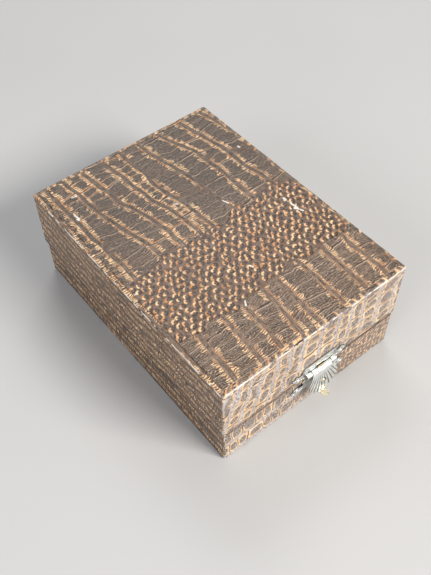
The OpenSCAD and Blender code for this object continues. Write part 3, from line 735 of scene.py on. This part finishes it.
def pine():
    """Planed pine: yellow wood with darker growth rings along the boards and fine pores."""
    material, t, mm = start_material("planed_pine")
    board = add(t, VECTOR, mm, [0.02, 0.02, 0.35], **TIMES)
    warp = add(t, NOISE, ("Vector", board), ("Scale", 1.6), ("Detail", 2.0))
    rings = add(t, MATH, add(t, MATH, warp, 55.0, **TIMES), **SINE)
    lengthways = add(t, VECTOR, mm, [0.4, 0.4, 6.0], **TIMES)
    pores = add(t, NOISE, ("Vector", lengthways), ("Scale", 1.0), ("Detail", 3.0))
    paint = add(t, MIX, (0, add(t, RAMP, rings, -0.6, 1.0, **SOFT)), (6, "#d9b98a"), (7, "#b58a58"), **PAINT)
    paint = add(t, MIX, (0, add(t, RAMP, pores, 0.5, 0.75, 0.0, 0.4)), (6, paint), (7, "#8f6a42"), **PAINT)
    normal = add(t, BUMP, ("Height", pores), ("Distance", 0.05 * MM), ("Strength", 0.5))
    return end_material(material, Base_Color=paint, Roughness=0.55, Normal=normal)


def flock():
    """Flocked lining: short rayon pile on card, matt with a soft sheen and brushed patches."""
    material, t, mm = start_material("flocked_lining")
    pile = add(t, NOISE, ("Vector", mm), ("Scale", 4.5), ("Detail", 2.0), ("Roughness", 0.7))
    brushed = add(t, NOISE, ("Vector", mm), ("Scale", 0.1), ("Detail", 3.0), ("Roughness", 0.6))
    paint = add(t, RAMP, brushed, 0.3, 0.75, **SOFT)
    paint = add(t, MIX, (0, paint), (6, "#621a24"), (7, "#76242e"), **PAINT)
    shaded = add(t, RAMP, pile, 0.42, 0.75, 0.0, 0.55, **SOFT)
    paint = add(t, MIX, (0, shaded), (6, paint), (7, "#340a10"), **PAINT)
    normal = add(t, BUMP, ("Height", pile), ("Distance", 0.14 * MM), ("Strength", 0.9))
    return end_material(material, Base_Color=paint, Roughness=0.95, Normal=normal, Sheen_Weight=0.4,
                        Sheen_Roughness=0.4, Sheen_Tint=linear("#c87a80"))


MATERIALS = {
    "wood": pine(),
    "paper": hide_paper(),
    "lining": flock(),
    # bright nickel plate on stamped steel, a little dulled
    "nickel": plain_metal("nickel_plate", "#eceeeb", "#cdcfca", (0.34, 0.48), [0.4, 5.0, 5.0], 0.08),
    # cold-rolled brass strip, gone pale and dull
    "spring_brass": plain_metal("rolled_brass", "#efe6cb", "#cbb98c", (0.3, 0.45), [5.0, 5.0, 0.4], 0.08),
    # tinned steel sheet
    "tin": plain_metal("tinned_steel", "#cfcdc6", "#9c998f", (0.26, 0.5), [0.3, 6.0, 6.0], 0.1),
    # drawn steel wire
    "brads": plain_metal("drawn_steel", "#b4b2ae", "#83817c", (0.25, 0.45), [0.3, 6.0, 6.0], 0.1),
}
MATERIALS["pins"] = MATERIALS["brads"]

# ---- Geometry Nodes ----

FLOAT, GEOMETRY = "NodeSocketFloat", "NodeSocketGeometry"


def start_tree(name, **sizes):
    """A geometry tree with named inputs for its sizes."""
    tree = bpy.data.node_groups.new(name, "GeometryNodeTree")
    tree.interface.new_socket("Geometry", in_out="INPUT", socket_type=GEOMETRY)
    for key in sizes:
        tree.interface.new_socket(key, in_out="INPUT", socket_type=FLOAT)
    tree.interface.new_socket("Geometry", in_out="OUTPUT", socket_type=GEOMETRY)
    group = tree.nodes.new("NodeGroupInput")
    return tree, group.outputs


def end_tree(tree, shape, material):
    """Ends a tree with real geometry in its material."""
    real = add(tree, "GeometryNodeRealizeInstances", shape)
    painted = add(tree, "GeometryNodeSetMaterial", real, ("Material", material))
    tree.links.new(painted, tree.nodes.new("NodeGroupOutput").inputs[0])


def grow(name, tree, points, sizes, finish=()):
    """The tree's result on points in mm, as a plain mesh object. finish adds modifiers after it."""
    mesh = bpy.data.meshes.new(name)
    mesh.from_pydata((np.asarray(points, float) * MM).tolist(), [], [])
    seedling = bpy.data.objects.new(name + "_seed", mesh)
    bpy.context.scene.collection.objects.link(seedling)
    modifier = seedling.modifiers.new("nodes", "NODES")
    modifier.node_group = tree
    for item in tree.interface.items_tree:
        if item.in_out == "INPUT" and item.name in sizes:
            modifier[item.identifier] = float(sizes[item.name])
    for kind, settings in finish:
        extra = seedling.modifiers.new(kind.lower(), kind)
        for key, value in settings.items():
            setattr(extra, key, value)
    bpy.context.view_layer.update()
    made = bpy.data.meshes.new_from_object(seedling.evaluated_get(bpy.context.evaluated_depsgraph_get()))
    bpy.data.objects.remove(seedling)
    made.name = name
    made.polygons.foreach_set("use_smooth", [True] * len(made.polygons))
    return bpy.data.objects.new(name, made)


def nail_tree(material, facing):
    """Round-headed nails on points: a hammered dome on a straight shank, its head towards facing."""
    sizes = dict(head=NAIL_HEAD_R, dome=0.55, shank=0.45, length=4.5)
    tree, given = start_tree("nails", **sizes)
    head = add(tree, "GeometryNodeMeshUVSphere", ("Segments", 32), ("Rings", 16), ("Radius", given["head"]))
    flat = add(tree, MATH, given["dome"], given["head"], operation="DIVIDE")
    squash = add(tree, XYZ, 1.0, 1.0, flat)
    head = add(tree, "GeometryNodeTransform", head, ("Scale", squash))
    dents = add(tree, NOISE, ("Scale", 900.0), ("Detail", 1.0))
    dents = add(tree, MATH, add(tree, MATH, dents, 0.5, **MINUS), 0.12 * MM, **TIMES)
    push = add(tree, VECTOR, add(tree, "GeometryNodeInputNormal"), ("Scale", dents), operation="SCALE")
    head = add(tree, "GeometryNodeSetPosition", head, ("Offset", push))
    shank = add(tree, "GeometryNodeMeshCylinder", ("Vertices", 16), ("Radius", given["shank"]),
                ("Depth", given["length"]))
    half = add(tree, MATH, given["length"], -0.5, **TIMES)
    shank = add(tree, "GeometryNodeTransform", shank, ("Translation", add(tree, XYZ, 0.0, 0.0, half)))
    both = tree.nodes.new("GeometryNodeJoinGeometry")
    for shape in (shank, head):
        tree.links.new(shape, both.inputs[0])
    turn = add(tree, "FunctionNodeRandomValue", ("Min", [0.0, 0.0, 0.0]), ("Max", [0.06, 0.06, 6.0]),
               ("Seed", 5), data_type="FLOAT_VECTOR")
    nails = add(tree, "GeometryNodeInstanceOnPoints", given["Geometry"], ("Instance", both.outputs[0]),
                ("Rotation", [facing * math.pi / 2, 0.0, 0.0]))
    nails = add(tree, "GeometryNodeRotateInstances", nails, ("Rotation", turn))
    end_tree(tree, nails, material)
    return tree, {k: v * MM for k, v in sizes.items()}


def nails(name, body, slot, points, facing):
    """One piece with a nail at each point. facing is 1 on the front and -1 on the back."""
    tree, sizes = nail_tree(MATERIALS[slot], facing)
    settle(grow(name, tree, points, sizes), body, slot, [name])


def shell_tree(material):
    """The clasp's shell on a grid: s runs across from -1 to 1 and t down from 0 to 1. The lower
    edge is an arc, the ribs fan out and grow towards it, and the middle bellies out."""
    sizes = dict(ribs=11, radius=7.9, middle=6.2, top=5.4, rib_height=0.6, dome=0.5, scallop=0.45,
                 rivet=RIVET_DROP)
    tree, given = start_tree("shell", **sizes)
    grid = tree.nodes.new("GeometryNodeMeshGrid")
    for key, value in (("Size X", 2.0), ("Size Y", 1.0), ("Vertices X", 177), ("Vertices Y", 49)):
        grid.inputs[key].default_value = value
    point = add(tree, "GeometryNodeInputPosition")
    s, y = (add(tree, "ShaderNodeSeparateXYZ", point, out=k) for k in (0, 1))
    t = add(tree, MATH, 0.5, y, **MINUS)
    size = add(tree, MATH, s, **ABSOLUTE)
    wave = add(tree, MATH, add(tree, MATH, s, given["ribs"], **TIMES), math.pi / 2, **TIMES)
    crest = add(tree, MATH, add(tree, MATH, wave, **COSINE), **ABSOLUTE)
    rise = add(tree, MATH, crest, 0.7, operation="POWER")
    radius = add(tree, MATH, crest, given["scallop"], given["radius"], **TIMES_PLUS)
    angle = add(tree, MATH, s, math.radians(100), **TIMES)
    low_u = add(tree, MATH, radius, add(tree, MATH, angle, **SINE), **TIMES)
    low_v = add(tree, MATH, radius, add(tree, MATH, angle, **COSINE), given["middle"], **TIMES_PLUS)
    top_u = add(tree, MATH, add(tree, MATH, s, given["top"], **TIMES),
                add(tree, MATH, size, 0.65, 0.35, **TIMES_PLUS), **TIMES)
    u = add(tree, MATH, t, add(tree, MATH, low_u, top_u, **MINUS), top_u, **TIMES_PLUS)
    v = add(tree, MATH, t, add(tree, MATH, low_v, 0.4, **MINUS), 0.4, **TIMES_PLUS)
    belly = add(tree, MATH, add(tree, MATH, t, math.radians(150), **TIMES), **SINE)
    flat = add(tree, MATH, add(tree, MATH, s, s, **TIMES), -0.5, 1.0, **TIMES_PLUS)
    belly = add(tree, MATH, add(tree, MATH, belly, flat, **TIMES), given["dome"], **TIMES)
    ribs = add(tree, MATH, add(tree, MATH, t, rise, **TIMES), given["rib_height"], **TIMES)
    n = add(tree, MATH, belly, ribs, **PLUS)
    down = add(tree, MATH, v, given["rivet"], **MINUS)
    from_rivet = add(tree, VECTOR, add(tree, XYZ, u, down, 0.0), operation="LENGTH", out="Value")
    seat = add(tree, RAMP, from_rivet, 1.25, 1.7, 0.35, 0.0, **SOFT)
    n = add(tree, MATH, n, seat, **MINUS)
    place = add(tree, XYZ, u, n, add(tree, MATH, v, -1.0, **TIMES))
    place = add(tree, VECTOR, place, [MM, -MM, MM], **TIMES)
    # painted shade and tarnish, kept as groove, in the hollows between the ribs and round the rivet's seat
    hollow = add(tree, RAMP, crest, 0.6, 0.15, **SOFT)
    hollow = add(tree, MATH, hollow, add(tree, RAMP, t, 0.1, 0.4, **SOFT), **TIMES)
    ring = add(tree, RAMP, from_rivet, 1.75, 1.45, **SOFT)
    shape = add(tree, "GeometryNodeStoreNamedAttribute", grid.outputs[0], ("Name", "groove"),
                ("Value", add(tree, MATH, hollow, ring, **GREATER)))
    shape = add(tree, "GeometryNodeSetPosition", shape, ("Position", place))
    end_tree(tree, shape, material)
    return tree, sizes


def to_clasp(points):
    """Points (u right, n out, -v) about the clasp's hinge, turned open, in the case's mm."""
    p = np.asarray(points, float)
    k = math.radians(OPEN_ANGLE)
    y, z = -p[:, 1], p[:, 2]
    turned = np.stack([p[:, 0], y * math.cos(k) + z * math.sin(k), -y * math.sin(k) + z * math.cos(k)], 1)
    return turned + CLASP


def barrel(bore, mouth, low, high):
    """A rolled barrel along x between low and high. Its bore widens at its mouths."""
    profile = [(bore, 0.1), (mouth, 0.0), (1.08, 0.0), (1.17, 0.05), (BARREL_R, 0.15)]
    ring = [(r, low + e) for r, e in profile] + [(r, high - e) for r, e in profile[::-1]]
    sides = 40
    k = np.arange(sides) / sides * 2 * math.pi
    verts = np.array([[(x, r * math.cos(a), r * math.sin(a)) for a in k] for r, x in ring]).reshape(-1, 3)
    return verts, outward(verts, grid_faces(len(ring), sides, True, True))


def join_meshes(*parts):
    """One list of points and faces from several closed meshes."""
    verts, faces, shift = [], [], 0
    for v, f in parts:
        verts.append(np.asarray(v, float))
        faces += [[i + shift for i in q] for q in f]
        shift += len(v)
    return np.concatenate(verts), faces


def clasp_shell():
    """The ribbed shell with its rolled barrel."""
    tree, sizes = shell_tree(MATERIALS["nickel"])
    solid = ("SOLIDIFY", dict(thickness=0.45 * MM, offset=-1.0))
    sheet = grow("shell_sheet", tree, [(0, 0, 0)], sizes, [solid]).data
    co, groove = np.zeros(len(sheet.vertices) * 3), np.zeros(len(sheet.vertices))
    sheet.vertices.foreach_get("co", co)
    sheet.attributes["groove"].data.foreach_get("value", groove)
    co = co.reshape(-1, 3) / MM
    verts = to_clasp(np.stack([co[:, 0], BARREL_R - 0.02 - co[:, 1], co[:, 2]], 1))
    faces = outward(verts, [list(q.vertices) for q in sheet.polygons])
    rolled, rings = barrel(0.58, 0.7, -BARREL_W / 2, BARREL_W / 2)
    verts, faces = join_meshes((verts, faces), (to_clasp(rolled), rings))
    piece = piece_from("ribbed_shell", verts, faces, "hasp", "nickel", ["clasp_shell"])
    store(piece, groove=np.concatenate([groove, np.zeros(len(rolled))]))


def union(*shapes, blend=0.5):
    """Signed distance to shapes melted together."""
    out = shapes[0]
    for d in shapes[1:]:
        h = np.clip(0.5 + 0.5 * (out - d) / blend, 0, 1)
        out = out * (1 - h) + d * h - blend * h * (1 - h)
    return out


def convex(u, w, right):
    """Signed distance to a convex outline with two like sides, from its right corners upwards."""
    c = np.array(right + [(-x, y) for x, y in right[::-1]], float)
    out = np.full(np.shape(u), -1e9)
    for (x, y), (p, q) in zip(c, np.roll(c, -1, 0) - c):
        out = np.maximum(out, ((u - x) * q - (w - y) * p) / math.hypot(p, q))
    return out


def contour(shape, low, high, step):
    """The outline where shape(u, w) is 0, as one closed loop of points."""
    u, w = np.arange(low[0], high[0], step), np.arange(low[1], high[1], step)
    d = shape(*np.meshgrid(u, w, indexing="ij"))
    n = len(w)
    links = {}
    for i, j in zip(*np.nonzero(np.abs(d[:-1, :-1]) < 2 * step)):
        corners = [(i, j), (i + 1, j), (i + 1, j + 1), (i, j + 1)]
        for tri in ((0, 1, 2), (0, 2, 3)):
            at = [corners[k] for k in tri]
            cross = [tuple(sorted((p[0] * n + p[1], q[0] * n + q[1])))
                     for p, q in zip(at, at[1:] + at[:1]) if (d[p] > 0) != (d[q] > 0)]
            if cross:
                for p, q in (cross, cross[::-1]):
                    links.setdefault(p, []).append(q)
    start = max(links)
    loop, seen = [start], {start}
    while True:
        ahead = [q for q in links[loop[-1]] if q not in seen]
        if not ahead:
            break
        loop.append(ahead[0])
        seen.add(ahead[0])
    points = []
    for p, q in loop:
        a, b = (np.array([u[k // n], w[k % n]]) for k in (p, q))
        da, db = d[p // n, p % n], d[q // n, q % n]
        points.append(a + (b - a) * da / (da - db))
    points = np.array(points)
    turn = (points[:, 0] * np.roll(points[:, 1], -1) - np.roll(points[:, 0], -1) * points[:, 1]).sum()
    return points if turn > 0 else points[::-1]


def stamped_plate(name, shape, drop, body, extras=()):
    """A nickel plate on the front with a raised bead inside its edge, drop below the clasp's hinge."""
    loop = contour(shape, (-17, -6), (17, 7), 0.2)
    e = 0.02
    grad = np.stack([shape(loop[:, 0] + e, loop[:, 1]) - shape(loop[:, 0] - e, loop[:, 1]),
                     shape(loop[:, 0], loop[:, 1] + e) - shape(loop[:, 0], loop[:, 1] - e)], 1)
    grad /= np.maximum(np.linalg.norm(grad, axis=1, keepdims=True), 1e-6)
    rings = [(0.02, 0.0), (0.0, SHEET_T - 0.16), (0.05, SHEET_T - 0.05), (0.16, SHEET_T),
             (0.34, SHEET_T + 0.02), (0.46, SHEET_T + 0.13), (0.58, SHEET_T + 0.13), (0.7, SHEET_T + 0.01)]
    verts = []
    for inset, n in rings:
        at = loop - grad * inset
        verts.append(np.stack([at[:, 0] + CLASP[0], np.full(len(at), -CASE_D / 2 - n),
                               at[:, 1] + CLASP[2] - drop], 1))
    verts, m = np.concatenate(verts), len(loop)
    faces = grid_faces(len(rings), m, False, True)
    faces += [list(range(m))[::-1], list(range((len(rings) - 1) * m, len(rings) * m))]
    # painted shade and tarnish, kept as groove, along the plate's edge and in the valleys beside its bead
    groove = np.repeat([1.0, 0.5, 0.0, 0.1, 0.85, 0.0, 0.0, 0.35], m)
    verts, faces = join_meshes((verts, faces), *extras)
    piece = piece_from(name, verts, faces, body, "nickel", sharp=40)
    store(piece, groove=np.concatenate([groove, np.zeros(len(verts) - len(groove))]))
    return piece


def plate_ends(u, w, droop):
    """The bosses round the nails and the scrolls beyond them."""
    u = np.abs(u)
    boss = np.hypot(u - 12.5, w) - 1.9
    scroll = np.hypot(u - 14.7, w - droop) - 0.95
    curl = np.hypot(u - 13.2, w - 2.4 * droop) - 0.8
    return union(boss, scroll, curl, blend=0.4)


def lid_plate(u, w):
    """The lid's plate: a tapered field on a bar, slotted for the barrel and the strip's loop."""
    field = convex(u, w, [(9.8, -1), (10, 3.1), (8.7, 5.1)])
    bar = convex(u, w, [(12.5, -1.1), (12.5, 1.7)])
    whole = union(field, bar, plate_ends(u, w, 0.9), blend=0.7)
    slot = np.maximum(np.abs(u) - 5.7, w - 1.0)
    loop_slot = np.maximum(np.abs(u) - 2.2, w - 1.8)
    return np.maximum(whole, -np.minimum(slot, loop_slot))


def base_plate(u, w):
    """The base's plate: a field that narrows downwards, on a bar."""
    field = convex(u, w, [(4.5, -4.2), (8, -2.4), (9.3, 3), (7.5, 4.4)])
    bar = convex(u, w, [(12.5, -1.4), (12.5, 1.5)])
    return union(field, bar, plate_ends(u, w, -0.9), blend=0.7)


def spring_strip():
    """The brass strip: a loop round the barrel, down behind the shell, in under the keeper and
    out to the thumb tab. Its line is in n (out) and v (down) about the clasp's hinge."""
    turns = np.radians(np.arange(-65, -275, -15))
    line = [(1.36 * math.cos(k), 1.36 * math.sin(k)) for k in turns]
    line += [(0.4, 1.7), (0.5, 2.3), (0.5, 6.0), (0.5, 10.2), (0.35, 10.9), (-0.3, 11.6), (-0.3, 11.9),
             (0.35, 12.6), (0.5, 13.3), (0.55, 14.1), (0.95, 14.75), (2.0, 15.2), (3.3, 15.5), (4.75, 15.8)]
    line = np.array(line)
    fine = []
    for k in range(len(line) - 1):
        p0, p1, p2, p3 = (line[min(max(k + m, 0), len(line) - 1)] for m in (-1, 0, 1, 2))
        square, cube = 2 * p0 - 5 * p1 + 4 * p2 - p3, 3 * p1 - p0 - 3 * p2 + p3
        for t in np.arange(4) / 4:
            fine.append(0.5 * (2 * p1 + (p2 - p0) * t + square * t**2 + cube * t**3))
    fine = np.array(fine + [line[-1]])
    tangent = np.gradient(fine, axis=0)
    tangent /= np.linalg.norm(tangent, axis=1, keepdims=True)
    side = np.stack([-tangent[:, 1], tangent[:, 0]], 1)
    run = np.concatenate([[0], np.cumsum(np.linalg.norm(np.diff(fine, axis=0), axis=1))])
    to_end = run[-1] - run
    half = 1.8 - 0.5 * np.clip(1 - to_end / 0.6, 0, 1) ** 2
    thick = np.where(run < 8, 0.14, 0.18)
    rim = [(-1, -0.5), (-0.96, -1), (0.96, -1), (1, -0.5), (1, 0.5), (0.96, 1), (-0.96, 1), (-1, 0.5)]
    verts = []
    for a, b in rim:
        at = fine + side * (b * thick)[:, None]
        verts.append(np.stack([a * half, at[:, 0], -at[:, 1]], 1))
    verts = np.stack(verts, 1)
    rows, cols = verts.shape[:2]
    verts = to_clasp(verts.reshape(-1, 3))
    faces = grid_faces(rows, cols, False, True)
    faces += [list(range(cols))[::-1], list(range((rows - 1) * cols, rows * cols))]
    piece_from("brass_spring", verts, outward(verts, faces), "hasp", "spring_brass", ["clasp_spring_strip"],
               sharp=40)


def rivet():
    """The brass rivet: a domed head in its seat and a set tail behind the strip."""
    seat, sides = 1.62, 32
    line = [(0.0, -0.02), (0.95, -0.02), (1.12, 0.08), (1.12, 0.28), (0.85, 0.3), (0.85, seat),
            (1.1, seat), (1.14, seat + 0.1), (1.02, seat + 0.3), (0.75, seat + 0.47), (0.4, seat + 0.56),
            (0.0, seat + 0.6)]
    k = np.arange(sides) / sides * 2 * math.pi
    verts = [(0, line[0][1], -RIVET_DROP)]
    verts += [(r * math.cos(a), n, r * math.sin(a) - RIVET_DROP) for r, n in line[1:-1] for a in k]
    verts += [(0, line[-1][1], -RIVET_DROP)]
    rings = len(line) - 2
    last = 1 + (rings - 1) * sides
    around = [(i, (i + 1) % sides) for i in range(sides)]
    faces = [[1 + i for i in quad] for quad in grid_faces(rings, sides, False, True)]
    faces += [[0, 1 + j, 1 + i] for i, j in around]
    faces += [[len(verts) - 1, last + i, last + j] for i, j in around]
    verts = to_clasp(verts)
    piece_from("domed_rivet", verts, outward(verts, faces), "hasp", "spring_brass", ["clasp_rivet"], sharp=40)


# ---- Pieces ----

side_cover("lid_side_cover", LID_LOW, LID_HIGH, True, lid_hide)
side_cover("base_side_cover", BASE_LOW, BASE_HIGH, False, base_hide)
flat_cover("lid_top_cover", "lid", top_hide, 0.4, True)
flat_cover("base_bottom_cover", "base", top_hide, 0.6, False)
pad("base_floor_pad", "base", True)
pad("lid_top_lining", "lid", False)
wall_lining("base_wall_lining", "base")
wall_lining("lid_wall_lining", "lid")

front_y, back_y = -CASE_D / 2 - SHEET_T, CASE_D / 2 + SHEET_T
for name, body, facing in (("clasp_lid_nails", "lid", 1), ("clasp_base_nails", "base", 1),
                           ("hinge_lid_nails", "lid", -1), ("hinge_base_nails", "base", -1)):
    low, high = box_mm(name)
    z, end = (low[2] + high[2]) / 2, high[0] - NAIL_HEAD_R
    if facing > 0:
        spots = [(low[0] + NAIL_HEAD_R, front_y, z), (end, front_y, z)]
    else:
        spots = [(s * (end - k), back_y, z) for s in (-1, 1) for k in (0, HINGE_NAIL_STEP)]
    nails(name, body, SLOT_OF[name], spots, facing)

clasp_shell()
spring_strip()
rivet()
ears = []
for edge in (-8.5, 5.7):
    verts, faces = barrel(0.5, 0.6, edge, edge + 2.8)
    ears.append((verts + CLASP, faces))
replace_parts(stamped_plate("clasp_lid_plate_stamped", lid_plate, 0.0, "lid", ears), "clasp_lid_plate")
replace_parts(stamped_plate("clasp_base_plate_stamped", base_plate, 8.4, "base"), "clasp_base_plate")

# ---- CAD nodes that stay: their material, and doubled points welded for even shading ----

for name, node in NODES.items():
    if node.hide_render:
        continue
    slot = SLOT_OF[name]
    node.data.materials.clear()
    node.data.materials.append(MATERIALS[slot])
    weld = node.modifiers.new("weld", "WELD")
    weld.merge_threshold = 0.002 * MM

# ---- Camera, floor and light ----

CAMERA_PLACE = (-0.1406, -0.1803, 0.3011)
CAMERA_TURN = (38.29, 0.48, -38.9)
CAMERA_LENS = 47.22
camera = bpy.data.cameras.new("camera")
camera.lens = CAMERA_LENS
camera.sensor_width = 36
camera.clip_start = 0.01
viewer = bpy.data.objects.new("camera", camera)
bpy.context.scene.collection.objects.link(viewer)
viewer.location = CAMERA_PLACE
viewer.rotation_euler = [math.radians(a) for a in CAMERA_TURN]
bpy.context.scene.camera = viewer
bpy.context.scene.view_settings.view_transform = "Standard"

floor_mesh = bpy.data.meshes.new("floor")
floor_mesh.from_pydata([(-3, -3, 0), (3, -3, 0), (3, 3, 0), (-3, 3, 0)], [], [(0, 1, 2, 3)])
paper_roll, tree, mm = start_material("pale_floor")
tint = add(tree, NOISE, ("Vector", mm), ("Scale", 0.006), ("Detail", 2.0))
tint = add(tree, MIX, (0, tint), (6, "#bdbcba"), (7, "#b5b4b2"), **PAINT)
floor_mesh.materials.append(end_material(paper_roll, Base_Color=tint, Roughness=0.7))
floor = bpy.data.objects.new("floor", floor_mesh)
bpy.context.scene.collection.objects.link(floor)

for name, place, size, power, colour in (
    ("key", (0.45, -1.3, 1.05), (0.8, 0.55), 38.5, "#fffcf8"),
    ("sheen", (0.5, 0.8, 1.1), (0.7, 0.5), 6, "#ffffff"),
    ("fill", (-0.9, -0.15, 0.6), (0.6, 0.45), 4.5, "#f8f9ff"),
):
    lamp = bpy.data.lights.new(name, "AREA")
    lamp.shape = "RECTANGLE"
    lamp.size, lamp.size_y = size
    lamp.energy = power
    lamp.color = linear(colour)[:3]
    holder = bpy.data.objects.new(name, lamp)
    bpy.context.scene.collection.objects.link(holder)
    holder.location = place
    holder.rotation_euler = (Vector((0, 0, 0.03)) - Vector(place)).to_track_quat("-Z", "Y").to_euler()
world = bpy.data.worlds.new("studio")
bpy.context.scene.world = world
world.use_nodes = True
world.node_tree.nodes["Background"].inputs[0].default_value = linear("#e2e6ec")
world.node_tree.nodes["Background"].inputs[1].default_value = 0.4

bpy.context.view_layer.update()
